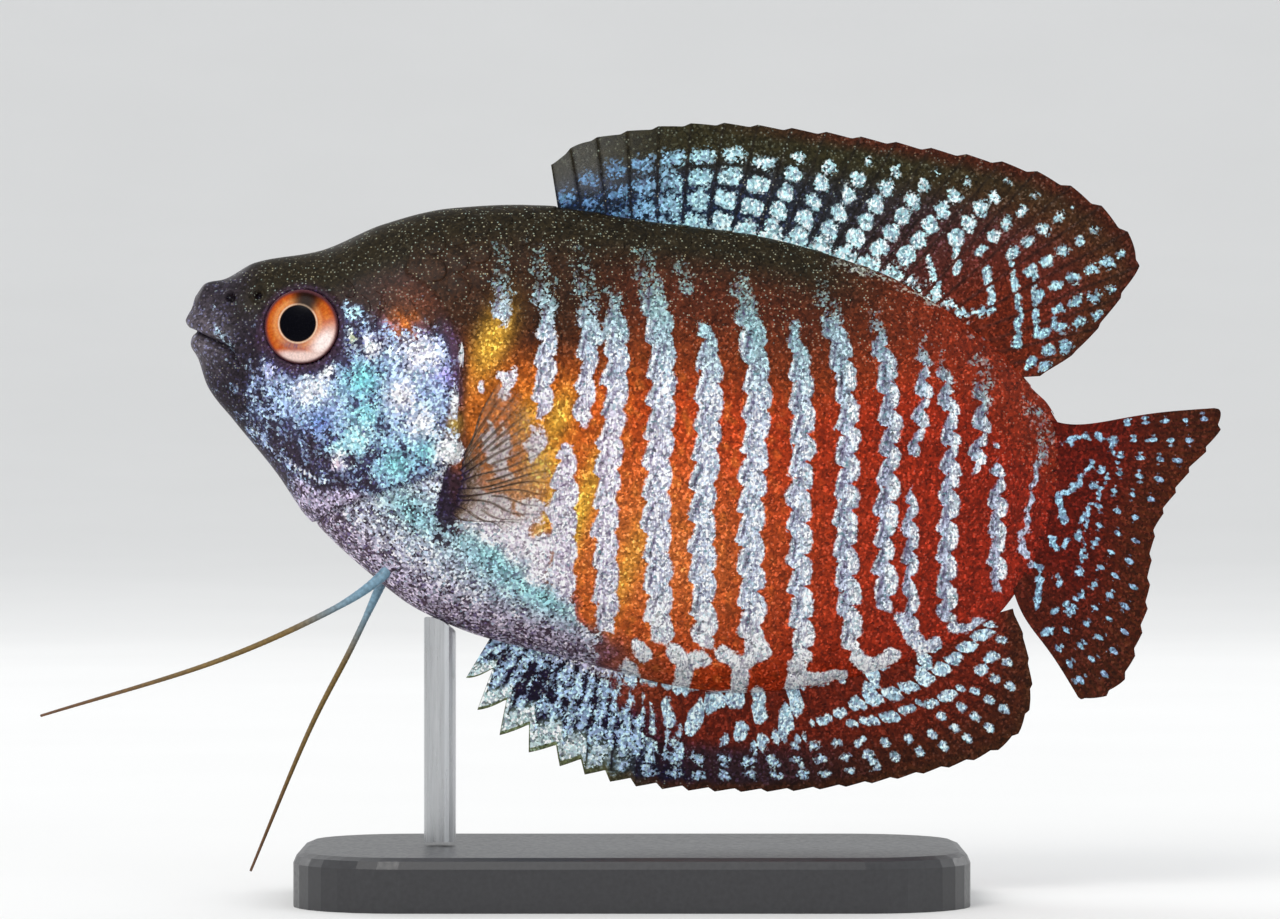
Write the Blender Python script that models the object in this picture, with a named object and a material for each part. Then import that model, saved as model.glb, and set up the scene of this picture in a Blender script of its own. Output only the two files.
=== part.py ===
"""Dwarf gourami: a life-size still model, held by one rod over a flat display base.

The fish is drawn level in a frame of its own, in millimetres: x runs from the snout to the tail, y across
the body with the left side at -y, and z up. An empty then tips it head up over the base. World units are
metres, with +Z up and the origin under the middle of the base.
"""

import math

import bmesh
import bpy
from mathutils import Vector

MM = 0.001
GAP = 0.3

# Pose: where the snout is in the world, and how far the head is tipped up
SNOUT_X = -33.0
SNOUT_Z = 44.0
PITCH = math.radians(12.5)

# Body outline and width along the fish, as x and the size there
BACK = [(0, 1.2), (0.5, 2.3), (1.8, 3.0), (3.7, 4.7), (8.4, 6.7), (12.5, 9.6), (17.2, 11.9), (24.8, 13.7),
        (31.0, 14.1), (41.5, 14.9), (49.8, 14.2), (54.5, 12.8), (60.2, 10.2), (63.1, 8.0), (65.3, 6.7)]
BELLY = [(0, -0.6), (0.4, -1.5), (1.2, -3.3), (2.4, -5.4), (4.7, -7.3), (8.7, -10.4), (11.8, -13.1),
         (16.9, -16.2), (21.6, -18.3), (26.8, -19.2), (35.7, -19.5), (40.3, -19.7), (44.9, -19.4),
         (50.7, -17.8), (56.2, -15.2), (60.9, -12.1), (64.1, -9.1), (65.3, -7.1)]
HALF_WIDTH = [(0, 0.7), (0.5, 1.35), (1.5, 1.95), (3.0, 2.65), (6.0, 3.65), (9.0, 4.5), (12.0, 5.1),
              (16.0, 5.6), (20.0, 5.75), (26.0, 5.6), (34.0, 5.0), (42.0, 4.2), (50.0, 3.3), (57.0, 2.3),
              (62.0, 1.5), (65.3, 1.1)]
WIDEST_LEVEL = [(0, -0.2), (3.0, -0.6), (9.0, -1.6), (16.0, -3.4), (26.0, -3.6), (40.0, -2.4),
                (65.3, -0.2)]
SECTION_POWER = 1.12
BODY_END = 65.3
BODY_RINGS = 42
BODY_SIDES = 32
RING_CROWDING = 1.5
FIRST_RING_X = 0.15
CURVE_STEPS = 16

# The rear of the fish swings a little to its right
SWAY_START = 38.0
SWAY_REACH = 27.0
SWAY = 1.2

# Seams that part the body, as x, z
GILL_SEAM = [(16.6, 18.0), (17.2, 8.0), (18.6, 3.2), (20.6, 0.2), (21.7, -2.8), (21.9, -5.6), (19.6, -8.4),
             (16.2, -11.4), (12.6, -14.2), (10.0, -18.0)]
TAIL_SEAM = [(56.6, 18.0), (56.6, -22.0)]
JAW_SEAM = [(-2.0, -1.35), (0.4, -1.42), (3.5, -2.1), (5.9, -4.9), (5.3, -8.0), (4.6, -12.0)]
SEAM_REACH = 16.0
# A surface with fewer corners than this is a scrap of a cut, not a node
SCRAP_CORNERS = 40
SHARP_ANGLE = math.radians(40)

# Head
EYE_X = 8.5
EYE_Z = 0.65
EYE_OUT = 3.2
EYE_RADIUS = 2.78
EYE_HALF_DEPTH = 1.75
EYE_SEGMENTS = 20
EYE_RINGS = 12
NOSTRILS = [(2.7, 1.7, 0.34), (4.7, 2.3, 0.28)]
NOSTRIL_DEPTH = 0.6
MOUTH_FRONT_Z = -1.42
MOUTH_CORNER_X = 3.5
MOUTH_CORNER_Z = -2.1
LIP_BULGE = 0.34
LIP_OFFSET = 0.78
LIP_BREADTH = 0.6
LIP_FORWARD = 0.4
LIP_FADE = 1.2
# Gill cover rows from top to bottom: front x, front z, rear x, rear z
COVER_ROWS = [(16.2, 3.2, 18.45, 3.0), (15.1, 0.4, 20.4, 0.1), (15.5, -2.8, 21.5, -2.8),
              (15.9, -5.6, 21.7, -5.5), (16.7, -8.3, 19.5, -8.2)]
COVER_DEPTH = 0.85
COVER_RAISE = 0.2
COVER_CUT_RAISE = 1.0
COVER_GRID = (9, 6)

# Fins. Outer edges as x, z from the first ray to the last
DORSAL_FIRST_X = 25.3
DORSAL_SPINES = 16
DORSAL_RAYS = 24
SPINE_PITCH = 1.85
DORSAL_SOFT_PITCH = 1.05
DORSAL_SPREAD = 1.1
DORSAL_EDGE = [(23.9, 16.6), (26.3, 19.1), (33.4, 21.9), (40.8, 23.2), (50.7, 24.0), (59.5, 24.1),
               (65.2, 22.5), (68.6, 19.6), (67.9, 16.2), (65.7, 11.8), (63.2, 9.1)]
ANAL_FIRST_X = 27.3
ANAL_SPINES = 14
ANAL_RAYS = 28
ANAL_SPINE_PITCH = 1.6
ANAL_SOFT_PITCH = 1.08
ANAL_EARLY_SPINES = 4
ANAL_EARLY_SPREAD = 0.29
SHALLOW_NOTCH = 0.025
SAW_NOTCH = 0.5
SAW_FADE = 2.4
ANAL_EDGE = [(26.0, -22.35), (27.8, -25.0), (30.5, -26.4), (35.2, -27.4), (41.5, -27.4), (52.3, -25.2),
             (60.8, -22.1), (66.6, -18.7), (67.9, -15.0), (66.6, -10.9), (65.0, -8.4)]
CAUDAL_RAYS = 15
CAUDAL_ROOT_TOP = 6.1
CAUDAL_ROOT_BOTTOM = -6.8
CAUDAL_EDGE = [(77.2, 9.8), (76.3, 5.9), (74.5, 0.6), (74.5, -2.6), (75.0, -6.5), (74.5, -11.0),
               (71.6, -14.2)]
CAUDAL_SAG = 1.9
PECTORAL_RAYS = 10
PECTORAL_ROOT_X = 22.9
PECTORAL_ROOT_TOP = -6.7
PECTORAL_ROOT_BOTTOM = -10.3
# Outer edge of the pectoral fan as x, distance from the midline, z
PECTORAL_EDGE = [(24.0, 9.3, 0.5), (27.4, 10.3, -1.7), (29.8, 10.8, -5.8), (29.4, 10.4, -9.1),
                 (27.0, 9.2, -11.0)]
PECTORAL_SUNK = 1.2
MEMBRANE_HALF = 0.25
RAY_HALF = 0.42
EDGE_HALF = 0.1
RAY_FADE = 0.6
# Added to the gap under the fins on the midline, whose roots are flat where the back is round
ROOT_LIFT = 0.02
ROW_STEPS = [0.0, 0.3, 0.62, 0.88, 1.0]
# Columns stand beside each ray by this share of the way to the next, and one dips between two rays
RAY_SIDE = 0.15
DIP_PLACE = 0.78

# Long pelvic feelers, from the belly to the tip
FEELER_LEFT = [(18.6, -1.6, -14.6), (18.2, -2.0, -16.3), (14.9, -3.6, -19.7), (7.5, -6.2, -25.1),
               (-3.8, -8.6, -31.5)]
FEELER_RIGHT = [(18.6, 1.5, -14.6), (18.3, 1.8, -16.4), (17.0, 3.2, -22.1), (15.1, 5.0, -29.3),
                (13.0, 7.4, -40.6)]
FEELER_ROOT_RADIUS = 0.5
FEELER_RADIUS = 0.27
FEELER_TIP_RADIUS = 0.12
FEELER_ROOT_SHARE = 0.2
FEELER_TIP_SHARE = 0.25
FEELER_SIDES = 8
FEELER_RINGS = 26

# Stand
BASE_LENGTH = 50.0
BASE_WIDTH = 30.0
BASE_THICKNESS = 4.0
BASE_CORNER = 8.0
BASE_BEVEL = 0.8
# The bevel's middle ring: how far below the top and how far in, as shares of the bevel
BEVEL_MIDDLE = 0.3
CORNER_STEPS = 8
ROD_X = -14.4
ROD_RADIUS = 1.2
ROD_SIDES = 20
ROD_SUNK_TOP = 26.0


def clear_scene():
    for thing in list(bpy.data.objects):
        bpy.data.objects.remove(thing, do_unlink=True)


def material(name, colour, roughness, metallic=0.0):
    made = bpy.data.materials.new(name)
    made.use_nodes = True
    shader = made.node_tree.nodes["Principled BSDF"]
    shader.inputs["Base Color"].default_value = (*colour, 1.0)
    shader.inputs["Roughness"].default_value = roughness
    shader.inputs["Metallic"].default_value = metallic
    return made


def smooth_profile(points):
    """Monotone cubic through points of rising x, so that a profile never overshoots."""
    xs = [p[0] for p in points]
    ys = [p[1] for p in points]
    steps = [(ys[i + 1] - ys[i]) / (xs[i + 1] - xs[i]) for i in range(len(xs) - 1)]
    slopes = [steps[0]]
    for before, after in zip(steps, steps[1:]):
        flat = before * after <= 0
        slopes.append(0.0 if flat else 2 * before * after / (before + after))
    slopes.append(steps[-1])

    def value(x):
        x = min(max(x, xs[0]), xs[-1])
        i = max(k for k in range(len(xs) - 1) if xs[k] <= x)
        span = xs[i + 1] - xs[i]
        t = (x - xs[i]) / span
        rise = ys[i] * (1 + 2 * t) * (1 - t) ** 2 + ys[i + 1] * t * t * (3 - 2 * t)
        return rise + span * (slopes[i] * t * (1 - t) ** 2 - slopes[i + 1] * t * t * (1 - t))

    return value


def smooth_path(points):
    """Catmull-Rom curve through points, read by its share of length and straight past its ends."""
    knots = [Vector(p) for p in points]
    knots = [2 * knots[0] - knots[1]] + knots + [2 * knots[-1] - knots[-2]]
    fine = []
    for a, b, c, d in zip(knots, knots[1:], knots[2:], knots[3:]):
        for k in range(CURVE_STEPS):
            t = k / CURVE_STEPS
            fine.append(0.5 * (2 * b + (c - a) * t + (2 * a - 5 * b + 4 * c - d) * t ** 2
                               + (3 * b - a - 3 * c + d) * t ** 3))
    fine.append(knots[-2])
    reach = [0.0]
    for a, b in zip(fine, fine[1:]):
        reach.append(reach[-1] + (b - a).length)

    def point(share):
        wanted = share * reach[-1]
        i = max([k for k in range(len(fine) - 1) if reach[k] <= wanted], default=0)
        return fine[i].lerp(fine[i + 1], (wanted - reach[i]) / (reach[i + 1] - reach[i]))

    return point


back = smooth_profile(BACK)
belly = smooth_profile(BELLY)
half_width = smooth_profile(HALF_WIDTH)
widest_level = smooth_profile(WIDEST_LEVEL)


def sway(x):
    return SWAY * max(0.0, (x - SWAY_START) / SWAY_REACH) ** 2


def flank(x, z):
    """Half width of the body at length x and height z."""
    level = widest_level(x)
    reach = back(x) - level if z > level else level - belly(x)
    share = min(abs(z - level) / reach, 1.0)
    return half_width(x) * (1 - share * share) ** (SECTION_POWER / 2)


def make_object(name, points, faces, finish=None, parent=None):
    """One named object from points in millimetres, with its faces turned outwards."""
    mesh = bpy.data.meshes.new(name)
    mesh.from_pydata([Vector(p) * MM for p in points], [], faces)
    shell = bmesh.new()
    shell.from_mesh(mesh)
    bmesh.ops.triangulate(shell, faces=shell.faces)
    bmesh.ops.recalc_face_normals(shell, faces=shell.faces)
    shell.to_mesh(mesh)
    shell.free()
    made = bpy.data.objects.new(name, mesh)
    bpy.context.collection.objects.link(made)
    if finish:
        mesh.materials.append(finish)
    made.parent = parent
    return made


def ring_solid(rings, start=None, end=None):
    """Points and faces of a closed solid through rings of equal count, with optional pole points."""
    sides = len(rings[0])
    points = [p for ring in rings for p in ring]
    faces = []
    for r in range(len(rings) - 1):
        for s in range(sides):
            a = r * sides + s
            b = r * sides + (s + 1) % sides
            faces.append((a, b, b + sides, a + sides))
    last = (len(rings) - 1) * sides
    for pole, first in ((start, 0), (end, last)):
        if pole is None:
            faces.append(tuple(range(first, first + sides)))
            continue
        points.append(pole)
        faces += [(first + s, first + (s + 1) % sides, len(points) - 1) for s in range(sides)]
    return points, faces


def lip_bulge(x, z):
    """How far the two lips stand out at x, z, fading past the mouth corner."""
    line = MOUTH_FRONT_Z + (MOUTH_CORNER_Z - MOUTH_FRONT_Z) * x / MOUTH_CORNER_X
    off = (abs(z - line) - LIP_OFFSET) / LIP_BREADTH
    fade = min(max((MOUTH_CORNER_X + LIP_FADE / 2 - x) / LIP_FADE, 0.0), 1.0)
    return LIP_BULGE * fade * math.exp(-off * off)


def body_ring(x, grow):
    """One section of the body at x, wider by grow all round."""
    level = widest_level(x)
    ring = []
    for s in range(BODY_SIDES):
        angle = 2 * math.pi * s / BODY_SIDES
        reach = back(x) - level if math.sin(angle) > 0 else level - belly(x)
        across = math.copysign(abs(math.cos(angle)) ** SECTION_POWER, math.cos(angle))
        z = level + (reach + grow) * math.sin(angle)
        bulge = lip_bulge(x, z)
        ring.append((x - bulge * LIP_FORWARD, sway(x) + (half_width(x) + grow + bulge) * across, z))
    return ring


def body(name, grow, parent):
    """The whole body as one solid, or the same shape swollen by grow to cut what grows from it."""
    shares = [i / BODY_RINGS for i in range(BODY_RINGS + 1)]
    places = [FIRST_RING_X + (BODY_END - FIRST_RING_X) * share ** RING_CROWDING for share in shares]
    rings = [body_ring(x, grow) for x in places]
    nose = (-grow, 0.0, (back(0) + belly(0)) / 2)
    return make_object(name, *ring_solid(rings, start=nose), parent=parent)


def tube(name, path, radius_at, rings, sides, finish=None, parent=None):
    """Round tube along a path read by its share of length, with pointed ends."""
    circles = []
    for i in range(rings):
        share = (i + 0.5) / rings
        centre = path(share)
        along = (path(share + 0.02) - path(share - 0.02)).normalized()
        side = along.cross(Vector((0, 1, 0))).normalized()
        up = side.cross(along)
        radius = radius_at(share)
        turns = [2 * math.pi * s / sides for s in range(sides)]
        circles.append([centre + radius * (math.cos(t) * side + math.sin(t) * up) for t in turns])
    return make_object(name, *ring_solid(circles, path(0.0), path(1.0)), finish, parent)


def slab(name, line, parent):
    """Cutter as thick as the gap along a line in x, z, right across the fish."""
    points = [Vector((x, z)) for x, z in line]
    left, right = [], []
    for i, point in enumerate(points):
        before = (point - points[max(i - 1, 0)]).normalized()
        after = (points[min(i + 1, len(points) - 1)] - point).normalized()
        along = (before + after).normalized()
        normal = Vector((-along.y, along.x))
        widen = GAP / 2 / max((before + after).length / 2, 0.5) if 0 < i < len(points) - 1 else GAP / 2
        left.append(point + normal * widen)
        right.append(point - normal * widen)
    outline = left + right[::-1]
    count = len(outline)
    solid = [(p.x, y, p.y) for y in (-SEAM_REACH, SEAM_REACH) for p in outline]
    faces = [(i, (i + 1) % count, (i + 1) % count + count, i + count) for i in range(count)]
    for level in (0, count):
        for i in range(len(points) - 1):
            faces.append((level + i, level + i + 1, level + count - 2 - i, level + count - 1 - i))
    return make_object(name, solid, faces, parent=parent)


def settle(thing):
    """Apply an object's modifiers."""
    bpy.context.view_layer.update()
    graph = bpy.context.evaluated_depsgraph_get()
    mesh = bpy.data.meshes.new_from_object(thing.evaluated_get(graph))
    thing.modifiers.clear()
    thing.data = mesh


def combine(thing, other, operation):
    """Apply a Boolean with another object, which is then removed."""
    cut = thing.modifiers.new("combine", "BOOLEAN")
    cut.operation = operation
    cut.object = other
    cut.solver = "EXACT"
    settle(thing)
    bpy.data.objects.remove(other, do_unlink=True)


def keep_largest(thing):
    """Drop every surface of an object but its largest."""
    pieces = loose_pieces(thing)
    keep = max(pieces, key=len)
    shell = bmesh.new()
    shell.from_mesh(thing.data)
    bmesh.ops.delete(shell, geom=[v for v in shell.verts if v.index not in keep], context="VERTS")
    shell.to_mesh(thing.data)
    shell.free()


def loose_pieces(thing):
    """Sets of the vertex numbers of each separate surface."""
    links = {v.index: [] for v in thing.data.vertices}
    for edge in thing.data.edges:
        a, b = edge.vertices
        links[a].append(b)
        links[b].append(a)
    pieces = []
    seen = set()
    for start in links:
        if start in seen:
            continue
        piece = {start}
        front = {start}
        while front:
            front = {n for v in front for n in links[v]} - piece
            piece |= front
        seen |= piece
        pieces.append(piece)
    return pieces


def finish_piece(thing, finish):
    """Give an object its one material and smooth shading."""
    thing.data.materials.clear()
    thing.data.materials.append(finish)
    thing.data.shade_smooth()
    thing.data.set_sharp_from_angle(angle=SHARP_ANGLE)


def ellipsoid(name, centre, radius, half_depth, segments, rings, parent):
    """Round lens with its poles out to the sides."""
    circles = []
    for i in range(1, rings):
        angle = math.pi * i / rings
        across = radius * math.sin(angle)
        turns = [2 * math.pi * s / segments for s in range(segments)]
        circles.append([(centre[0] + across * math.cos(t), centre[1] + half_depth * math.cos(angle),
                         centre[2] + across * math.sin(t)) for t in turns])
    poles = [(centre[0], centre[1] + side * half_depth, centre[2]) for side in (1, -1)]
    return make_object(name, *ring_solid(circles, *poles), parent=parent)


def eyeball(name, side, grow, parent):
    """The eye on one side, or the same shape swollen by grow for its socket."""
    centre = (EYE_X, side * EYE_OUT, EYE_Z)
    return ellipsoid(name, centre, EYE_RADIUS + grow, EYE_HALF_DEPTH + grow, EYE_SEGMENTS, EYE_RINGS, parent)


def cover_slab(name, side, inset, depth, raised, parent):
    """Curved plate over the gill on one side, from depth inside the cheek to raised above it."""
    rows, columns = COVER_GRID
    fronts = smooth_path([(x, 0, z) for x, z, _, _ in COVER_ROWS])
    rears = smooth_path([(x, 0, z) for _, _, x, z in COVER_ROWS])
    points = []
    for r in range(rows):
        share = r / (rows - 1)
        front, rear = fronts(share), rears(share)
        drop = inset * (1 - 2 * share)
        for c in range(columns):
            part = c / (columns - 1)
            spot = front.lerp(rear, part)
            x = spot.x + inset * (1 - 2 * part)
            z = spot.z - drop
            skin = flank(x, z)
            points += [(x, side * (skin + raised), z), (x, side * (skin - depth), z)]
    return make_object(name, *sheet_solid(points, rows, columns), parent=parent)


def sheet_solid(points, rows, columns):
    """Points as pairs, front and back, with both faces split into triangles alike."""
    def at(r, c, face):
        return 2 * (r * columns + c) + face

    faces = []
    for r in range(rows - 1):
        for c in range(columns - 1):
            for face in (0, 1):
                faces.append((at(r, c, face), at(r, c + 1, face), at(r + 1, c + 1, face)))
                faces.append((at(r, c, face), at(r + 1, c + 1, face), at(r + 1, c, face)))
    rim = [(0, c) for c in range(columns)] + [(r, columns - 1) for r in range(1, rows)]
    rim += [(rows - 1, c) for c in range(columns - 2, -1, -1)] + [(r, 0) for r in range(rows - 2, 0, -1)]
    for here, there in zip(rim, rim[1:] + rim[:1]):
        faces.append((at(*here, 0), at(*there, 0), at(*there, 1)))
        faces.append((at(*here, 0), at(*there, 1), at(*here, 1)))
    return points, faces


def build_body(skins, parent):
    """Head, lower jaw, torso and tail: one shape parted with thin cuts."""
    whole = body("fish_body", 0.0, parent)
    for side in (-1, 1):
        combine(whole, eyeball("socket", side, GAP, parent), "DIFFERENCE")
        pocket = cover_slab("pocket", side, 0.0, COVER_DEPTH + GAP, COVER_CUT_RAISE, parent)
        combine(whole, pocket, "DIFFERENCE")
        for x, z, radius in NOSTRILS:
            pit = ellipsoid("pit", (x, side * flank(x, z), z), radius, NOSTRIL_DEPTH, 8, 6, parent)
            combine(whole, pit, "DIFFERENCE")
    for line in (GILL_SEAM, TAIL_SEAM, JAW_SEAM):
        combine(whole, slab("seam", line, parent), "DIFFERENCE")
    split_body(whole, skins, parent)


def split_body(whole, skins, parent):
    """Each surface left by the seams becomes a node, named by its order along the fish."""
    mesh = whole.data
    pieces = [piece for piece in loose_pieces(whole) if len(piece) > SCRAP_CORNERS]
    pieces.sort(key=lambda piece: sum(mesh.vertices[v].co.x for v in piece) / len(piece))
    for name, piece in zip(("lower_jaw", "head", "torso", "tail"), pieces):
        part = whole.copy()
        part.data = mesh.copy()
        part.name = name
        bpy.context.collection.objects.link(part)
        shell = bmesh.new()
        shell.from_mesh(part.data)
        bmesh.ops.delete(shell, geom=[v for v in shell.verts if v.index not in piece], context="VERTS")
        shell.to_mesh(part.data)
        shell.free()
        finish_piece(part, skins[name])
    bpy.data.objects.remove(whole, do_unlink=True)


def build_eyes_and_covers(eye_finish, cover_finish, parent):
    for side, word in ((-1, "left"), (1, "right")):
        finish_piece(eyeball("eye_" + word, side, 0.0, parent), eye_finish)
        cover = cover_slab("gill_cover_" + word, side, GAP, COVER_DEPTH, COVER_RAISE, parent)
        finish_piece(cover, cover_finish)


def ray_places(count):
    """Where the columns of a fin stand, in ray numbers, with each column's kind."""
    places = []
    for k in range(count):
        places += [(k - RAY_SIDE, "side"), (k, "ray"), (k + RAY_SIDE, "side")]
        if k < count - 1:
            places.append((k + DIP_PLACE, "dip"))
    return places


def fin(name, count, root_at, edge_at, notch_at, finish, parent, bow=None, normal=None):
    """Closed membrane from a root line to an outer edge, with its rays raised in its own surface."""
    columns = ray_places(count)
    rows = len(ROW_STEPS)
    points = []
    for place, kind in columns:
        root = root_at(place)
        tip = root.lerp(edge_at(place), 1 - notch_at(place, kind))
        for step in ROW_STEPS:
            spot = root.lerp(tip, step)
            if bow:
                spot += bow(place, step)
            thick = RAY_HALF if kind == "ray" else MEMBRANE_HALF
            thick = EDGE_HALF if step == 1.0 else thick + (MEMBRANE_HALF - thick) * step * RAY_FADE
            out = normal or Vector((0, 1, 0))
            points += [spot + out * thick, spot - out * thick]
    made = make_object(name, *sheet_solid(points, len(columns), rows), finish, parent)
    finish_piece(made, finish)
    return made


def dorsal_root(place):
    """Where a dorsal ray leaves the back."""
    soft = DORSAL_SOFT_PITCH * max(0.0, place - DORSAL_SPINES + 1)
    x = DORSAL_FIRST_X + SPINE_PITCH * min(place, DORSAL_SPINES - 1) + soft
    return Vector((x, sway(x), back(x) + GAP + ROOT_LIFT))


def anal_root(place):
    """Where an anal ray leaves the belly."""
    soft = ANAL_SOFT_PITCH * max(0.0, place - ANAL_SPINES + 1)
    x = ANAL_FIRST_X + ANAL_SPINE_PITCH * min(place, ANAL_SPINES - 1) + soft
    return Vector((x, sway(x), belly(x) - GAP - ROOT_LIFT))


def median_fin(name, count, root_at, edge, share_at, notch, finish, parent):
    """A fin on the midline, along the back or the belly."""
    outer = smooth_path([(x, 0, z) for x, z in edge])

    def edge_at(place):
        spot = outer(share_at(place))
        return Vector((spot.x, sway(spot.x), spot.z))

    fin(name, count, root_at, edge_at, notch, finish, parent)


def dorsal_share(place):
    """Share of the dorsal fin's outer edge at a ray's tip: the soft rays spread wider."""
    share = place / (DORSAL_RAYS - 1)
    return share if share < 0 else share ** DORSAL_SPREAD


def anal_share(place):
    """Share of the anal fin's outer edge at a ray's tip: the first spines stand wider apart."""
    wide = ANAL_EARLY_SPREAD * min(place, ANAL_EARLY_SPINES)
    return (place + wide) / (ANAL_RAYS - 1 + ANAL_EARLY_SPREAD * ANAL_EARLY_SPINES)


def shallow_notch(place, kind):
    """Share of a fin's height that its edge dips between two rays."""
    return SHALLOW_NOTCH if kind == "dip" else 0.0


def saw_notch(place, kind):
    """The edge between the first anal spines is cut deep, like a saw."""
    return SHALLOW_NOTCH + SAW_NOTCH * math.exp(-place / SAW_FADE) if kind == "dip" else 0.0


def caudal_fin(finish, parent):
    outer = smooth_path([(x, 0, z) for x, z in CAUDAL_EDGE])
    last = CAUDAL_RAYS - 1
    root_x = BODY_END + GAP

    def root_at(place):
        share = place / last
        z = CAUDAL_ROOT_TOP + (CAUDAL_ROOT_BOTTOM - CAUDAL_ROOT_TOP) * share
        return Vector((root_x, sway(root_x), z))

    def edge_at(place):
        spot = outer(place / last)
        return Vector((spot.x, sway(spot.x), spot.z))

    def bow(place, step):
        outer_ray = abs(2 * place / last - 1) ** 2
        return Vector((0, 0, -CAUDAL_SAG * outer_ray * math.sin(math.pi * step) * (1 - step) ** 3))

    fin("caudal_fin", CAUDAL_RAYS, root_at, edge_at, shallow_notch, finish, parent, bow)


def pectoral_fin(word, side, finish, parent):
    """Fan that stands out from the flank behind the gill cover."""
    outer = smooth_path([(x, side * out, z) for x, out, z in PECTORAL_EDGE])
    last = PECTORAL_RAYS - 1
    ends = [Vector((PECTORAL_ROOT_X, side * flank(PECTORAL_ROOT_X, z), z))
            for z in (PECTORAL_ROOT_TOP, PECTORAL_ROOT_BOTTOM)]
    top, bottom = ends
    middle = outer(0.5) - top.lerp(bottom, 0.5)
    sunk = middle.normalized() * PECTORAL_SUNK
    normal = middle.cross(bottom - top).normalized()

    def root_at(place):
        return top.lerp(bottom, place / last) - sunk

    def edge_at(place):
        return outer(place / last)

    name = "pectoral_fin_" + word
    made = fin(name, PECTORAL_RAYS, root_at, edge_at, shallow_notch, finish, parent, normal=normal)
    combine(made, body("swollen_body", GAP, parent), "DIFFERENCE")
    keep_largest(made)
    finish_piece(made, finish)


def feeler(word, line, finish, parent):
    """Pelvic fin drawn out into one long thread."""
    def radius(share):
        root = (FEELER_ROOT_RADIUS - FEELER_RADIUS) * max(0.0, 1 - share / FEELER_ROOT_SHARE)
        thin = max(0.0, share - 1 + FEELER_TIP_SHARE) / FEELER_TIP_SHARE
        tip = (FEELER_RADIUS - FEELER_TIP_RADIUS) * thin
        return FEELER_RADIUS + root - tip

    name = "pelvic_feeler_" + word
    made = tube(name, smooth_path(line), radius, FEELER_RINGS, FEELER_SIDES, finish, parent)
    combine(made, body("swollen_body", GAP, parent), "DIFFERENCE")
    keep_largest(made)
    finish_piece(made, finish)


def stand_base(finish):
    """Flat base with round corners and eased edges."""
    outline = []
    for corner in range(4):
        cx = (BASE_LENGTH / 2 - BASE_CORNER) * (1 if corner in (0, 3) else -1)
        cy = (BASE_WIDTH / 2 - BASE_CORNER) * (1 if corner in (0, 1) else -1)
        for step in range(CORNER_STEPS + 1):
            angle = math.pi / 2 * (corner + step / CORNER_STEPS)
            outline.append((cx + BASE_CORNER * math.cos(angle), cy + BASE_CORNER * math.sin(angle)))
    rings = []
    drops = ((BASE_THICKNESS, 0.0), (BASE_BEVEL, 0.0), (BASE_BEVEL * BEVEL_MIDDLE, BASE_BEVEL * BEVEL_MIDDLE),
             (0.0, BASE_BEVEL))
    for drop, inset in drops:
        z = BASE_THICKNESS - drop
        scale_x = 1 - 2 * inset / BASE_LENGTH
        scale_y = 1 - 2 * inset / BASE_WIDTH
        rings.append([(x * scale_x, y * scale_y, z) for x, y in outline])
    made = make_object("stand_base", *ring_solid(rings), finish)
    finish_piece(made, finish)


def stand_rod(finish, parent):
    """Upright rod from the base to the belly, its top cut to the belly's shape."""
    rings = []
    for z in (BASE_THICKNESS + GAP, ROD_SUNK_TOP):
        turns = [2 * math.pi * s / ROD_SIDES for s in range(ROD_SIDES)]
        rings.append([(ROD_X + ROD_RADIUS * math.cos(t), ROD_RADIUS * math.sin(t), z) for t in turns])
    made = make_object("stand_rod", *ring_solid(rings), finish)
    combine(made, body("swollen_body", GAP, parent), "DIFFERENCE")
    keep_largest(made)
    finish_piece(made, finish)


def build():
    clear_scene()
    pose = bpy.data.objects.new("fish_pose", None)
    bpy.context.collection.objects.link(pose)
    pose.location = (SNOUT_X * MM, 0, SNOUT_Z * MM)
    pose.rotation_euler = (0, PITCH, 0)
    skins = {
        "head": material("head_skin", (0.3, 0.28, 0.34), 0.35),
        "lower_jaw": material("jaw_skin", (0.27, 0.25, 0.31), 0.35),
        "torso": material("flank_skin", (0.62, 0.2, 0.06), 0.35),
        "tail": material("tail_skin", (0.5, 0.1, 0.04), 0.35),
    }
    red = material("fin_red", (0.42, 0.07, 0.03), 0.45)
    blue = material("fin_blue", (0.22, 0.3, 0.36), 0.45)
    clear = material("fin_clear", (0.5, 0.42, 0.36), 0.4)
    eye = material("eye_orange", (0.7, 0.28, 0.08), 0.15)
    cover = material("cover_silver", (0.55, 0.6, 0.66), 0.3, 0.3)
    thread = material("feeler_brown", (0.34, 0.22, 0.08), 0.45)
    build_body(skins, pose)
    build_eyes_and_covers(eye, cover, pose)
    median_fin("dorsal_fin", DORSAL_RAYS, dorsal_root, DORSAL_EDGE, dorsal_share, shallow_notch, blue, pose)
    median_fin("anal_fin", ANAL_RAYS, anal_root, ANAL_EDGE, anal_share, saw_notch, red, pose)
    caudal_fin(red, pose)
    for side, word in ((-1, "left"), (1, "right")):
        pectoral_fin(word, side, clear, pose)
    feeler("left", FEELER_LEFT, thread, pose)
    feeler("right", FEELER_RIGHT, thread, pose)
    stand_base(material("stand_black", (0.03, 0.03, 0.035), 0.4))
    stand_rod(material("stand_steel", (0.55, 0.56, 0.58), 0.3, 1.0), pose)


build()
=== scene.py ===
"""Looks of the dwarf gourami: skin, scales, eyes, fins, feelers, stand, light and camera.

Lengths are in millimetres in the fish's own frame, as in the part's source: x runs from the snout to the
tail, y across the body with the left side at -y, and z up. to_world tips that frame and gives metres.
Colours are written as eight-bit sRGB and turned into linear light.
"""

import math

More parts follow.
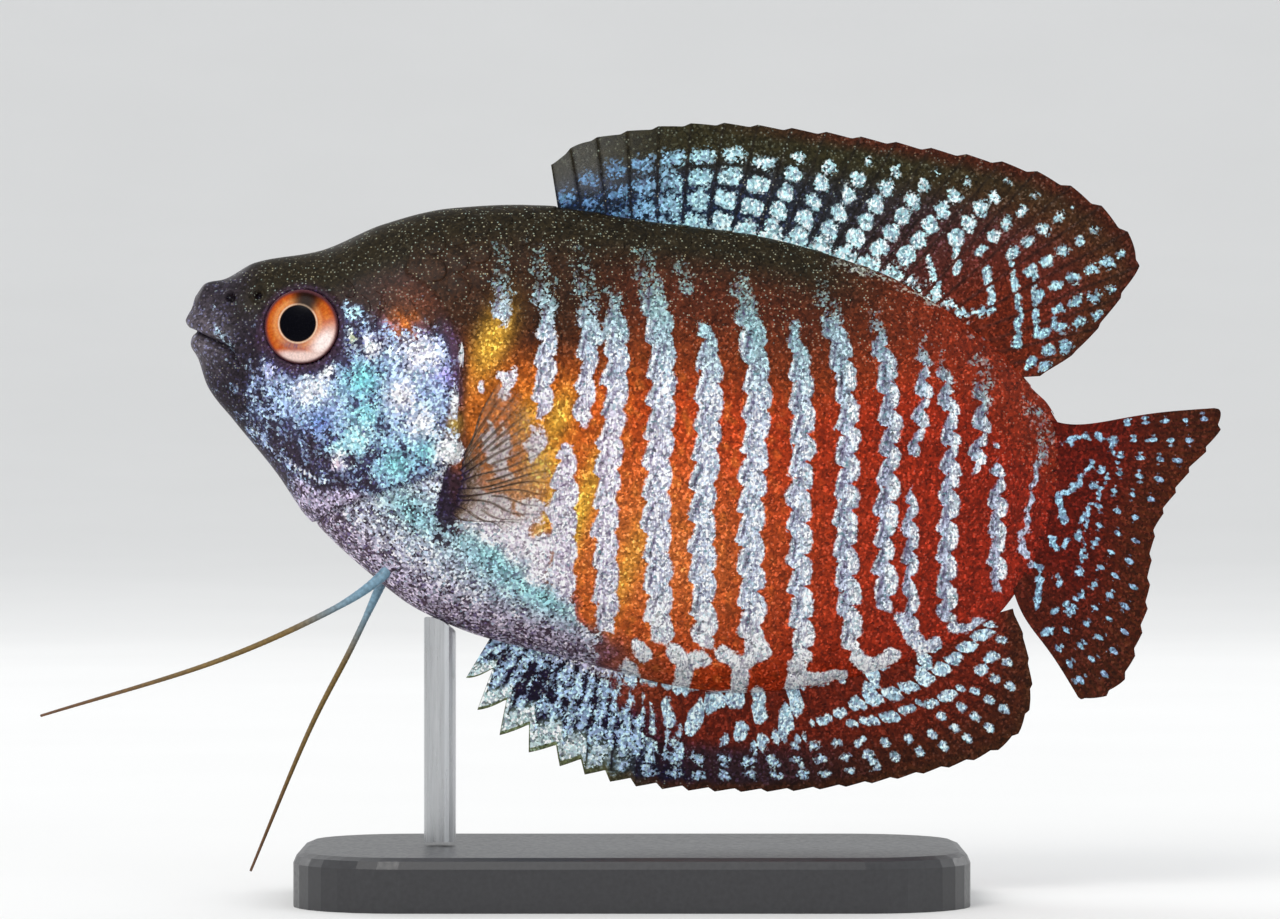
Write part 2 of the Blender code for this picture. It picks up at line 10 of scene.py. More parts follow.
import bpy
import numpy as np
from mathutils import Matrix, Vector


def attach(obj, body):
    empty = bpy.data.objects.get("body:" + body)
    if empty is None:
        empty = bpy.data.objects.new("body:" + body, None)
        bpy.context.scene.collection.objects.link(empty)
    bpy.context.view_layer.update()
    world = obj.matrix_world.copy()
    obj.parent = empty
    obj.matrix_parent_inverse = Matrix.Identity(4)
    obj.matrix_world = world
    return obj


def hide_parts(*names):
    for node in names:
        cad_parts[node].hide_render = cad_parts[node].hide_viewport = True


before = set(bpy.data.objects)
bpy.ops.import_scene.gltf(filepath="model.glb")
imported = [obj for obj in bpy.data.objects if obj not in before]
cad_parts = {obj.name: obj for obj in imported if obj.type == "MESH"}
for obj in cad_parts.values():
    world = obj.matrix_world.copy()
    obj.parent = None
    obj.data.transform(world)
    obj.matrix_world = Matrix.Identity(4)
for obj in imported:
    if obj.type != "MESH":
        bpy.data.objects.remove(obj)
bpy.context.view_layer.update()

MM = 0.001
SNOUT_X = -33.0
SNOUT_Z = 44.0
PITCH = math.radians(12.5)

# Body outline and width along the fish, as x and the size there
BACK = [(0, 1.2), (0.5, 2.3), (1.8, 3.0), (3.7, 4.7), (8.4, 6.7), (12.5, 9.6), (17.2, 11.9), (24.8, 13.7),
        (31.0, 14.1), (41.5, 14.9), (49.8, 14.2), (54.5, 12.8), (60.2, 10.2), (63.1, 8.0), (65.3, 6.7)]
BELLY = [(0, -0.6), (0.4, -1.5), (1.2, -3.3), (2.4, -5.4), (4.7, -7.3), (8.7, -10.4), (11.8, -13.1),
         (16.9, -16.2), (21.6, -18.3), (26.8, -19.2), (35.7, -19.5), (40.3, -19.7), (44.9, -19.4),
         (50.7, -17.8), (56.2, -15.2), (60.9, -12.1), (64.1, -9.1), (65.3, -7.1)]
HALF_WIDTH = [(0, 0.7), (0.5, 1.35), (1.5, 1.95), (3.0, 2.65), (6.0, 3.65), (9.0, 4.5), (12.0, 5.1),
              (16.0, 5.6), (20.0, 5.75), (26.0, 5.6), (34.0, 5.0), (42.0, 4.2), (50.0, 3.3), (57.0, 2.3),
              (62.0, 1.5), (65.3, 1.1)]
WIDEST_LEVEL = [(0, -0.2), (3.0, -0.6), (9.0, -1.6), (16.0, -3.4), (26.0, -3.6), (40.0, -2.4),
                (65.3, -0.2)]
SECTION_POWER = 1.12
BODY_END = 65.3
TAIL_OVERLAP = 0.9
SWAY_START = 38.0
SWAY_REACH = 27.0
SWAY = 1.2

# Skin mesh
SKIN_RINGS = 400
SKIN_SIDES = 236
SKIN_CROWDING = 1.35
SKIN_INSET = 0.12

# Head relief
EYE_X = 8.5
EYE_Z = 0.65
EYE_RADIUS = 2.78
EYE_RIM_OUT = 4.12
EYE_BULGE = 0.85
EYE_YAW = math.radians(12)
ORBIT_FLOOR = 1.3
NOSTRILS = [(2.7, 1.7, 0.34), (4.7, 2.3, 0.28)]
MOUTH_LINE = [(-0.5, -1.35), (0.4, -1.42), (3.5, -2.1), (4.4, -3.3), (4.6, -4.4)]
MOUTH_CORNER_X = 3.5
LIP_BULGE = 0.34
LIP_OFFSET = 0.78
LIP_BREADTH = 0.6
JAW_LINE = [(6.2, -7.6), (8.6, -9.1), (12.2, -10.3), (14.2, -9.8)]
PREOPERCLE = [(13.9, 2.2), (14.4, 0.9), (14.9, -1.2), (15.9, -5.2), (16.2, -6.9), (15.6, -8.5), (14.2, -9.8)]
GILL_EDGE = [(15.2, 6.4), (17.4, 5.4), (19.4, 3.3), (20.7, 0.4), (21.3, -3.0), (21.9, -5.8), (20.4, -8.0),
             (17.6, -9.7), (14.6, -11.6), (12.0, -13.6)]
GILL_RAISE = 0.26
GILL_GROOVE = 0.3

# Stripes lean back as they go down: this much for each millimetre of height
LEAN = 0.27
STRIPE_BEND = [(-20, -0.5), (-10, -0.55), (-5, -0.4), (0, 0.1), (4, 0.3), (7, 0.1), (9.5, -0.4), (13, -1.2)]
# Each stripe: place along the body at z 0, its drift per millimetre of height, top z, bottom z, half width
STRIPES = [(23.0, 0.167, 9.6, 4.0, 0.55), (27.0, 0.062, 10.2, -2.3, 0.66), (30.1, 0.08, 10.8, -2.1, 0.66),
           (29.3, 0.074, -3.6, -16.0, 0.98), (32.35, 0.05, 8.2, -16.6, 0.86), (35.9, 0.014, 11.6, -16.6, 0.98),
           (39.5, 0.028, 7.4, -16.2, 0.92), (43.15, 0.021, 11.6, -16.2, 0.94), (46.7, 0, 9.0, -15.6, 0.86),
           (50.2, -0.021, 12.1, -14.2, 0.84), (53.4, 0.017, 11.0, -10.6, 0.78), (55.25, 0, 0.0, -12.0, 0.5),
           (55.0, 0.208, 10.4, 1.0, 0.56), (58.1, 0, 9.2, -10.4, 0.7), (59.8, 0.17, 10.7, 0.6, 0.62),
           (61.8, -0.039, 3.4, -7.4, 0.6)]
LOBE_PITCH = 2.25
LOBE_LEFT = 0.62
LOBE_RIGHT = 0.42
SEAM_HALF = 0.13
CUT_HALF = 0.15

# Marks drawn as lines of round-ended strokes: radius, then x, z along the line
BODY_STROKES = [
    (0.3, [(63.2, 6.3), (64.7, 4.6), (64.4, 0.7), (64.6, -3.9), (66.4, -5.2), (66.8, -7.8)]),
    (0.42, [(63.0, 6.6), (64.7, 4.5)]), (0.42, [(35.3, 10.9), (35.9, 9.7)]), (0.36, [(29.8, 4.1), (30.8, 5.2)]),
    (0.45, [(59.7, -9.6), (61.2, -10.9), (62.8, -9.9)]), (0.5, [(56.9, -11.0), (57.6, -11.9)])]
# Speckled line along the foot of the dorsal fin
SADDLE = [(0.26, [(46.3, 14.1), (50.8, 13.7), (53.1, 13.0), (55.0, 12.9), (56.9, 12.4), (58.5, 13.2)])]
LOW_STROKES = [
    (0.5, [(38.0, -17.2), (38.9, -17.9)]), (0.55, [(37.7, -18.9), (38.1, -19.7)]),
    (0.62, [(40.9, -17.0), (41.7, -17.7), (42.9, -17.1)]), (0.6, [(41.8, -17.6), (41.9, -19.6)]),
    (0.6, [(44.4, -16.4), (45.9, -16.9), (47.3, -15.5)]), (0.62, [(46.0, -17.0), (46.2, -19.5)]),
    (0.62, [(45.8, -19.7), (44.4, -19.9), (43.6, -21.2), (43.1, -22.4)]), (0.48, [(47.7, -18.8), (48.1, -20.4)]),
    (0.72, [(50.1, -16.2), (50.5, -19.2)]), (0.6, [(50.4, -19.2), (49.9, -21.5)]),
    (0.46, [(51.0, -16.9), (53.5, -16.1)]), (0.6, [(54.3, -14.5), (55.6, -15.1), (56.8, -13.8)]),
    (0.6, [(55.6, -15.1), (56.0, -17.3)]), (0.56, [(58.2, -12.2), (59.1, -12.9), (59.9, -12.2)]),
    (0.58, [(59.1, -12.9), (59.6, -14.9)])]

# Patches of paint. Yellow on the flank: x, z, half sizes, strength
YELLOW_PATCHES = [(22.6, 2.6, 1.0, 2.4, 0.95), (26.4, -2.4, 0.9, 1.6, 0.6), (28.6, -1.8, 0.9, 2.0, 0.85),
                  (28.2, -5.6, 1.2, 1.8, 0.9), (29.2, -9.4, 0.6, 3.6, 0.9), (31.6, -9.0, 0.8, 6.0, 0.95),
                  (36.0, -12.0, 0.8, 4.5, 0.45)]
# Turquoise on the belly: x, z, half sizes
BELLY_TEAL = [(26, -12.9, 4.5, 1.8), (30.5, -15.2, 4.5, 1.6), (19.5, -11.0, 3.0, 1.4)]
# Pale patches behind the pectoral root: x, z, half sizes
PALE_PATCHES = [(24.3, -0.1, 0.8, 1.3), (25.0, -5.6, 1.1, 2.2), (27.4, -4.1, 0.8, 1.4), (22.7, -0.8, 0.45, 0.7),
                (28.3, -9.0, 1.3, 1.4), (25.6, -9.6, 1.5, 1.3), (23.8, -4.0, 0.6, 1.4)]
# White skin along the rear edge of the gill cover: x, z, half sizes, tilt
FLAP_PATCHES = [(21.4, -6.0, 0.95, 0.9, 0.7), (20.6, 1.2, 0.16, 0.9, 0.25), (20.9, -2.4, 0.3, 0.9, 0.1)]

# Scales: body columns and rows, then the finer ones on the cheek and gill cover
SCALE_COLUMN = 1.725
SCALE_LENGTH = 3.0
SCALE_WIDTH = 1.3
SCALE_START = -0.9
SCALE_GRID = (14, 15)
SCALE_SHARES = np.linspace(0, 1, SCALE_GRID[0]) ** 0.7
SCALE_SPLITS = (31.0, 46.0)
SCALE_ROOT_LIFT = -0.07
SCALE_EDGE_LIFT = 0.09
SCALE_THICKNESS = 0.05
CHEEK_COLUMN = 1.15
CHEEK_ROW = 1.5
CHEEK_LENGTH = 1.9
CHEEK_WIDTH = 0.86
CHEEK_START = -0.55
NAPE_FRONT = 13.0
PATCH_SIZE = 0.003

# Fins
DORSAL_FIRST_X = 25.3
DORSAL_SPINES = 16
DORSAL_RAYS = 24
SPINE_PITCH = 1.85
DORSAL_SOFT_PITCH = 1.05
DORSAL_SPREAD = 1.1
DORSAL_EDGE = [(23.9, 16.6), (26.3, 19.1), (33.4, 21.9), (40.8, 23.2), (50.7, 24.0), (59.5, 24.1),
               (65.2, 22.5), (68.6, 19.6), (67.9, 16.2), (65.7, 11.8), (63.2, 9.1)]
ANAL_FIRST_X = 27.3
ANAL_SPINES = 14
ANAL_RAYS = 28
ANAL_SPINE_PITCH = 1.6
ANAL_SOFT_PITCH = 1.08
ANAL_EARLY_SPINES = 4
ANAL_EARLY_SPREAD = 0.29
ANAL_EDGE = [(26.0, -22.35), (27.8, -25.0), (30.5, -26.4), (35.2, -27.4), (41.5, -27.4), (52.3, -25.2),
             (60.8, -22.1), (66.6, -18.7), (67.9, -15.0), (66.6, -10.9), (65.0, -8.4)]
SHALLOW_NOTCH = 0.025
SAW_NOTCH = 0.5
SAW_FADE = 2.4
DIP_PLACE = 0.78
CAUDAL_RAYS = 15
CAUDAL_ROOT_TOP = 6.1
CAUDAL_ROOT_BOTTOM = -6.8
CAUDAL_EDGE = [(77.2, 9.8), (76.3, 5.9), (74.5, 0.6), (74.5, -2.6), (75.0, -6.5), (74.5, -11.0),
               (71.6, -14.2)]
CAUDAL_SAG = 1.9
PECTORAL_RAYS = 10
PECTORAL_ROOT_X = 22.9
PECTORAL_ROOT_TOP = -6.7
PECTORAL_ROOT_BOTTOM = -10.3
PECTORAL_EDGE = [(24.0, 9.3, 0.5), (27.4, 10.3, -1.7), (29.8, 10.8, -5.8), (29.4, 10.4, -9.1),
                 (27.0, 9.2, -11.0)]
FIN_SUNK = 0.7
FIN_HALF = 0.1
FIN_EDGE_HALF = 0.03
RAY_RIDGE = 0.08
RAY_HALF_WIDTH = 0.13

DORSAL_STROKES = [
    (0.26, [(53.0, 16.1), (54.4, 13.4)]), (0.28, [(55.0, 17.0), (55.4, 15.4)]), (0.26, [(57.5, 16.1), (58.6, 13.4)]),
    (0.24, [(59.2, 17.0), (60.6, 13.6), (61.0, 10.9)]), (0.24, [(61.1, 16.7), (62.3, 12.0)]),
    (0.34, [(62.2, 9.7), (62.5, 10.2)]), (0.3, [(63.4, 13.4), (63.4, 12.9)])]
ANAL_STROKES = [
    (0.48, [(54.8, -18.1), (56.9, -16.9), (58.9, -15.7), (60.4, -14.4), (62.0, -12.3), (63.6, -10.2)]),
    (0.36, [(52.3, -20.0), (54.0, -18.8)]), (0.34, [(55.0, -19.4), (57.7, -18.4), (59.5, -17.0)]),
    (0.36, [(60.9, -16.4), (62.3, -15.2)]), (0.38, [(63.6, -13.4), (64.3, -12.2)]),
    (0.5, [(47.0, -21.6), (46.9, -22.1)]), (0.42, [(46.0, -22.6)]), (0.5, [(48.6, -22.1), (48.5, -22.6)]),
    (0.45, [(51.5, -21.3)]), (0.45, [(40.9, -21.0), (41.6, -22.2)])]
CAUDAL_STROKES = [
    (0.24, [(66.1, 4.6), (67.4, 5.5), (69.4, 5.6), (70.3, 4.0)]), (0.26, [(68.5, 3.7), (67.7, 1.7), (66.6, 0.4)]),
    (0.36, [(66.6, 0.4), (67.4, -1.2)]), (0.3, [(66.8, -2.6), (67.4, -3.3)]), (0.24, [(67.4, -3.3), (68.0, -2.5)]),
    (0.22, [(69.8, 2.8), (69.0, 0.0), (69.2, -1.8), (69.3, -4.7)]), (0.28, [(67.6, -5.4), (68.1, -5.8)]),
    (0.3, [(69.6, -6.5), (68.2, -8.0)])]

# Pelvic feelers
FEELER_LEFT = [(18.6, -1.6, -14.6), (18.2, -2.0, -16.3), (14.9, -3.6, -19.7), (7.5, -6.2, -25.1),
               (-3.8, -8.6, -31.5)]
FEELER_RIGHT = [(18.6, 1.5, -14.6), (18.3, 1.8, -16.4), (17.0, 3.2, -22.1), (15.1, 5.0, -29.3),
                (13.0, 7.4, -40.6)]
FEELER_RINGS = 160
FEELER_SIDES = 14

# Mark value far from any silver
NO_MARK = -9.0
# Size of one grain of the skin's random tone and painted glints
TONE_AND_GLINT_GRAIN = 0.17
# How much brighter than its surroundings a painted glint on the silver is
SPARKLE_GAIN = 2.1

# Camera, in the world
CAMERA_PLACE = (0.0006, -0.45, 0.0329375)
CAMERA_LENS = 168.75
CAMERA_SENSOR = 36.0

# Colours
OLIVE_BACK = (38, 31, 17)
BROWN_SIDE = (78, 34, 17)
SNOUT_PURPLE = (42, 35, 44)
JAW_PURPLE = (56, 47, 62)
NAPE_BROWN = (46, 28, 22)
SILVER_WHITE = (194, 204, 220)
SILVER_TURQUOISE = (120, 160, 160)
SILVER_LAVENDER = (236, 220, 236)
SEAM_PURPLE = (70, 46, 76)
CHEEK_BLUE = (150, 172, 212)
TURQUOISE = (124, 178, 184)
MAROON = (84, 54, 72)
MIDDLE_BROWN = (118, 50, 19)
# Bright patches on the cheek and gill cover: x, z, radius, colour, how solid
HEAD_PATCHES = [(13.9, 0.3, 0.75, (250, 244, 246), 1.5), (11.1, -2.1, 0.5, (240, 240, 232), 1.3),
                (10.2, -3.7, 1.1, (232, 240, 252), 1.35), (16.8, -2.8, 0.95, (244, 238, 246), 1.45),
                (17.6, 0.7, 1.5, (232, 230, 244), 1.25), (18.9, -4.5, 1.05, (228, 236, 248), 1.35),
                (21.2, -6.0, 0.9, (250, 250, 248), 1.4), (13.8, -2.2, 1.5, (112, 184, 194), 1.35),
                (14.6, -4.7, 1.1, (128, 196, 206), 1.5), (14.4, -6.6, 1.2, (172, 230, 236), 1.5),
                (13.2, -7.8, 0.9, (150, 206, 214), 1.2), (19.9, -0.6, 0.9, (142, 132, 204), 1.15),
                (19.7, -6.4, 1.0, (120, 192, 202), 1.3), (17.6, -7.8, 1.7, (122, 180, 188), 1.35),
                (13.3, -8.6, 0.7, (226, 196, 206), 1.0), (6.9, -2.9, 1.0, (176, 176, 220), 1.0),
                (12.0, 2.6, 0.8, (150, 190, 190), 1.0), (12.4, 0.6, 0.6, (190, 196, 150), 0.9),
                (11.4, -6.0, 1.1, (104, 128, 184), 0.85), (18.9, 1.9, 0.8, (170, 180, 222), 1.1)]
FLANK_REDS = [(20, (168, 92, 32)), (27, (184, 92, 22)), (33, (178, 72, 19)), (40, (164, 54, 17)),
              (48, (148, 42, 15)), (56, (136, 35, 13)), (66, (124, 28, 11))]


def linear(colour):
    """Eight-bit sRGB to linear light."""
    share = np.asarray(colour, float) / 255
    return np.where(share <= 0.04045, share / 12.92, ((share + 0.055) / 1.055) ** 2.4)


def ramp(low, high, value):
    """Smooth step from 0 at low to 1 at high, in either direction."""
    share = np.clip((value - low) / (high - low), 0, 1)
    return share * share * (3 - 2 * share)


def blend(colour, other, weight):
    """Mix rows of colour towards another colour by a weight for each row."""
    return colour + (np.asarray(other) - colour) * np.asarray(weight)[..., None]


def smooth_profile(points):
    """Monotone cubic through points of rising x, the same curve as the solids use."""
    xs, ys = np.array(points, float).T
    steps = np.diff(ys) / np.diff(xs)
    product = steps[:-1] * steps[1:]
    total = np.where(product > 0, steps[:-1] + steps[1:], 1.0)
    slopes = np.concatenate([steps[:1], np.where(product > 0, 2 * product / total, 0.0), steps[-1:]])

    def value(x):
        x = np.clip(x, xs[0], xs[-1])
        i = np.clip(np.searchsorted(xs, x, side="right") - 1, 0, len(xs) - 2)
        span = xs[i + 1] - xs[i]
        t = (x - xs[i]) / span
        rise = ys[i] * (1 + 2 * t) * (1 - t) ** 2 + ys[i + 1] * t * t * (3 - 2 * t)
        return rise + span * (slopes[i] * t * (1 - t) ** 2 - slopes[i + 1] * t * t * (1 - t))

    return value


def smooth_path(points, steps=16):
    """Catmull-Rom curve through points, read by its share of length and straight past its ends."""
    knots = np.array(points, float)
    knots = np.vstack([2 * knots[0] - knots[1], knots, 2 * knots[-1] - knots[-2]])
    fine = []
    for a, b, c, d in zip(knots, knots[1:], knots[2:], knots[3:]):
        for t in np.arange(steps) / steps:
            fine.append(0.5 * (2 * b + (c - a) * t + (2 * a - 5 * b + 4 * c - d) * t ** 2
                               + (3 * b - a - 3 * c + d) * t ** 3))
    fine = np.array(fine + [knots[-2]])
    reach = np.concatenate([[0], np.cumsum(np.linalg.norm(np.diff(fine, axis=0), axis=1))])

    def point(share):
        wanted = np.asarray(share, float) * reach[-1]
        i = np.clip(np.searchsorted(reach, wanted, side="right") - 1, 0, len(reach) - 2)
        part = (wanted - reach[i]) / (reach[i + 1] - reach[i])
        return fine[i] + (fine[i + 1] - fine[i]) * part[..., None]

    return point


back = smooth_profile(BACK)
belly = smooth_profile(BELLY)
half_width = smooth_profile(HALF_WIDTH)
widest_level = smooth_profile(WIDEST_LEVEL)
stripe_bend = smooth_profile(STRIPE_BEND)


def sway(x):
    return SWAY * np.maximum(0.0, (x - SWAY_START) / SWAY_REACH) ** 2


def section(x, angle):
    """Half width and height of the body's skin at an angle round its section."""
    level = widest_level(x)
    sine = np.sin(angle)
    cosine = np.cos(angle)
    reach = np.where(sine > 0, back(x) - level, level - belly(x))
    reach = reach * (1 - 0.13 * ramp(63.8, BODY_END + TAIL_OVERLAP, x))
    thin = 1 - 0.6 * ramp(62.0, BODY_END + 0.6, x)
    return thin * half_width(x) * np.sign(cosine) * np.abs(cosine) ** SECTION_POWER, level + reach * sine


def flank(x, z):
    """Half width of the body at length x and height z."""
    level = widest_level(x)
    reach = np.where(z > level, back(x) - level, level - belly(x))
    share = np.minimum(np.abs(z - level) / reach, 1.0)
    return half_width(x) * (1 - share * share) ** (SECTION_POWER / 2)


def to_world(points):
    """Fish frame in millimetres to the world in metres."""
    x, y, z = np.moveaxis(np.asarray(points, float), -1, 0)
    across = SNOUT_X + x * math.cos(PITCH) + z * math.sin(PITCH)
    up = SNOUT_Z - x * math.sin(PITCH) + z * math.cos(PITCH)
    return np.stack([across, y, up], axis=-1) * MM


def near_line(line, x, z):
    """Distance to a line of points in x, z, and the side of it, positive to its right going along it."""
    best = np.full(np.shape(x), 1e9)
    side = np.zeros(np.shape(x))
    for (ax, az), (bx, bz) in zip(line, line[1:]):
        dx, dz = bx - ax, bz - az
        share = np.clip(((x - ax) * dx + (z - az) * dz) / (dx * dx + dz * dz), 0, 1)
        off = np.hypot(x - ax - share * dx, z - az - share * dz)
        cross = np.sign((x - ax) * dz - (z - az) * dx)
        nearer = off < best
        best = np.where(nearer, off, best)
        side = np.where(nearer, cross, side)
    return best, side


def strokes(lines, x, z):
    """Signed distance into a set of round-ended strokes, positive inside."""
    inside = np.full(np.shape(x), NO_MARK)
    for radius, line in lines:
        if len(line) == 1:
            off = np.hypot(x - line[0][0], z - line[0][1])
        else:
            off, _ = near_line(line, x, z)
        inside = np.maximum(inside, radius - off)
    return inside


def loose_strokes(lines, x, z):
    """Strokes with slightly wandering edges."""
    return strokes(lines, x + 0.14 * wobble(x, z, 1.3, 71), z + 0.14 * wobble(x, z, 1.3, 72))


def blob(x, z, centre_x, centre_z, radius_x, radius_z, tilt=0.0):
    """Soft round patch, 1 at its middle."""
    dx, dz = x - centre_x, z - centre_z
    turned_x = dx * math.cos(tilt) + dz * math.sin(tilt)
    turned_z = dz * math.cos(tilt) - dx * math.sin(tilt)
    return np.exp(-(turned_x / radius_x) ** 2 - (turned_z / radius_z) ** 2)


def wobble(x, z, size, seed):
    """Smooth made-up variation between -1 and 1, with features of about the given size."""
    rng = np.random.default_rng(seed)
    total = np.zeros(np.shape(x))
    for _ in range(7):
        turn = rng.uniform(0, 2 * math.pi)
        pace = 2 * math.pi / (size * rng.uniform(0.8, 1.7))
        total += np.sin(pace * (x * math.cos(turn) + z * math.sin(turn)) + rng.uniform(0, 6.3))
    return total / 4


gill_line = [(x, z) for x, _, z in smooth_path([(x, 0, z) for x, z in GILL_EDGE])(np.linspace(0, 1, 40))]
gill_x = smooth_profile([(z, x) for x, z in reversed(GILL_EDGE)])
plate_x = smooth_profile([(z, x) for x, z in reversed(PREOPERCLE)])


def gill_side(x, z):
    """Signed distance from the rear edge of the gill cover, positive on the cover."""
    off, _ = near_line(gill_line, x, z)
    return off * np.where(x < gill_x(z), 1, -1)


def relief(x, z):
    """How far the head's skin stands out from the plain body shape."""
    line = MOUTH_LINE[1][1] + (MOUTH_LINE[2][1] - MOUTH_LINE[1][1]) * x / MOUTH_CORNER_X
    fade = np.clip((MOUTH_CORNER_X + 0.6 - x) / 1.2, 0, 1)
    height = LIP_BULGE * fade * np.exp(-((np.abs(z - line) - LIP_OFFSET) / LIP_BREADTH) ** 2)
    mouth, _ = near_line(MOUTH_LINE, x, z)
    height -= 0.4 * np.exp(-(mouth / 0.17) ** 2) * ramp(5.0, 3.4, x)
    height -= 0.08 * np.exp(-(mouth / 0.3) ** 2)
    for centre_x, centre_z, radius in NOSTRILS:
        off = np.hypot(x - centre_x, z - centre_z)
        height += 0.12 * np.exp(-((off - radius - 0.12) / 0.14) ** 2) - 0.5 * np.exp(-(off / radius) ** 4)
    jaw, _ = near_line(JAW_LINE, x, z)
    height -= 0.09 * np.exp(-(jaw / 0.16) ** 2)
    plate, _ = near_line(PREOPERCLE, x, z)
    signed = plate * np.where(x < plate_x(z), 1, -1)
    height += np.where(signed > 0, 0.13 * np.exp(-signed / 1.4), -0.1 * np.exp(-(signed / 0.22) ** 2))
    gill = gill_side(x, z)
    lip = GILL_RAISE * np.exp(-np.abs(gill) / 3.0)
    groove = -GILL_GROOVE * np.exp(-(gill / 0.35) ** 2)
    height += np.where(gill > 0, lip, groove) * ramp(-14.5, -12.5, z) * (1 - 0.85 * ramp(1.8, 4.2, z))
    orbit = np.hypot(x - EYE_X, z - EYE_Z)
    height += 0.16 * np.exp(-((orbit - EYE_RADIUS - 0.22) / 0.26) ** 2)
    return height - ORBIT_FLOOR * ramp(EYE_RADIUS + 0.04, EYE_RADIUS - 0.2, orbit)


def stripe_mark(x, z):
    """Signed distance into the upright silver stripes, with their dark seams, left lobes and right beads."""
    place = x + LEAN * z - stripe_bend(z) + 0.1 * wobble(x, z, 2.4, 3)
    rear = ramp(40, 50, x)
    beads = 0.45 * ramp(49, 57, x) * ramp(-3.0, 3.0, z)
    inside = np.full(np.shape(x), NO_MARK)
    seam, lobe, bead = np.zeros((3,) + np.shape(x))
    for number, (middle, drift, top, bottom, half) in enumerate(STRIPES):
        centre = middle + drift * z
        row = z / LOBE_PITCH + 0.37 * number + 0.12 * wobble(x, z, 3.1, 90 + number)
        tooth = 1 - np.mod(row, 1)
        step = np.minimum(tooth, 1 - tooth)
        bulge = np.sqrt(np.abs(np.sin(math.pi * (row + 0.5))))
        left = centre - half - LOBE_LEFT * tooth + 0.34
        right = centre + half + LOBE_RIGHT * (1 + 0.35 * rear) * bulge - 0.28 - 0.16 * rear
        taper = 0.55 * ramp(3.2, 0.0, top - z) + 0.35 * ramp(1.2, 0.0, z - bottom) + beads * (1 - tooth) ** 3
        band = np.minimum(np.minimum(place - left, right - place) - taper, np.minimum(top - z, z - bottom))
        slant = centre - 0.1 - 0.75 * half * tooth
        line = np.exp(-((place - slant) / SEAM_HALF) ** 2) * ramp(0.02, 0.3, 1 - tooth)
        between = np.exp(-((0.5 - step) * LOBE_PITCH / CUT_HALF) ** 2) * ramp(-0.2, 0.2, place - centre)
        under = np.exp(-(step * LOBE_PITCH / CUT_HALF) ** 2) * ramp(0.15, -0.1, place - slant)
        cut = np.maximum(under, (0.3 + 0.7 * rear) * between)
        band = band - 0.25 * (0.35 + 0.65 * rear) * cut
        inside = np.maximum(inside, band)
        seam = np.maximum(seam, np.maximum(line, (0.4 + 0.6 * rear) * cut) * (band > -0.05))
        lobe = np.maximum(lobe, ramp(0.05, 0.35, slant - place) * (band > 0))
        bead = np.maximum(bead, ramp(-0.1, 0.35, place - centre) * ramp(0.45, 0.3, step) * (band > 0))
    return inside, seam, lobe, bead


class Coat:
    """Paint of one surface at places x, z: ground and silver colours, the mark that parts them, and the amount of
    painted glints.
    """

    def __init__(self, x, z, ground, shine, ragged=0.12):
        self.x, self.z = x, z
        self.ground = np.broadcast_to(linear(ground), np.shape(x) + (3,))
        self.shine = np.broadcast_to(linear(shine), np.shape(x) + (3,))
        self.mark = np.full(np.shape(x), NO_MARK)
        # spark: how much of the surface gets painted glints, bright specks standing in for the lamps' sparkle
        self.spark = np.zeros(np.shape(x))
        self.ragged = np.full(np.shape(x), float(ragged))
        self.clear = np.ones(np.shape(x))

    def tint(self, colour, weight):
        """Moves the ground towards a colour."""
        self.ground = blend(self.ground, linear(colour), weight)

    def gleam(self, colour, weight):
        """Moves the silver towards a colour."""
        self.shine = blend(self.shine, linear(colour), weight)

    def mottle(self, strength, size, seed):
        self.ground = self.ground * (1 + strength * wobble(self.x, self.z, size, seed))[..., None]

    def add(self, mark):
        self.mark = np.maximum(self.mark, mark)

    def add_soft(self, weight, level=0.5):
        """Silver where a soft weight passes a level, and nothing far from it."""
        self.add(np.where(weight > 0.08, 0.9 * (weight - level), NO_MARK))

    def spot(self, x, z, radius_x, radius_z, tilt=0.0):
        return blob(self.x, self.z, x, z, radius_x, radius_z, tilt)

    def values(self):
        return {key: getattr(self, key) for key in ("ground", "shine", "mark", "spark", "ragged", "clear")}


def flank_coat(x, z):
    """Red, orange and brown flank with its upright silver stripes."""
    coat = Coat(x, z, BROWN_SIDE, SILVER_WHITE)
    places = [place for place, _ in FLANK_REDS]
    reds = np.array([linear(colour) for _, colour in FLANK_REDS])
    coat.ground = np.stack([np.interp(x, places, reds[:, channel]) for channel in range(3)], axis=-1)
    coat.tint((180, 58, 20), 0.5 * coat.spot(38, 1, 9, 6))
    coat.tint((214, 122, 58), 0.65 * coat.spot(37, -10, 8, 6))
    coat.tint((226, 128, 50), 0.45 * ramp(0.1, 0.9, wobble(x, z, 0.9, 7)) * ramp(52, 34, x))
    depth = back(x) - z
    rear = ramp(44, 58, x)
    reach = 13.5 - 7.5 * rear
    coat.tint(MIDDLE_BROWN, 0.9 * ramp(1.1 * reach, 0.7 * reach, depth) * (1 - 0.75 * rear))
    coat.tint(BROWN_SIDE, ramp(0.85 * reach, 0.42 * reach, depth) * (1 - 0.8 * rear))
    coat.tint((46, 29, 15), 0.85 * ramp(13.5, 9.0, depth) * ramp(34, 27, x))
    coat.tint(OLIVE_BACK, ramp(5.4 - 2.2 * rear, 1.6, depth) * (1 - 0.95 * ramp(44, 53, x)))
    for centre_x, centre_z, radius_x, radius_z, strength in YELLOW_PATCHES:
        coat.tint((230, 172, 60), strength * coat.spot(centre_x, centre_z, radius_x, radius_z, -0.15))
    coat.tint((132, 74, 52), 0.7 * ramp(4.0, 1.0, z - belly(x)) * ramp(44, 36, x))
    coat.mottle(0.16, 1.6, 5)
    coat.mottle(0.12, 0.7, 6)
    paint_stripes(coat, depth)
    return coat


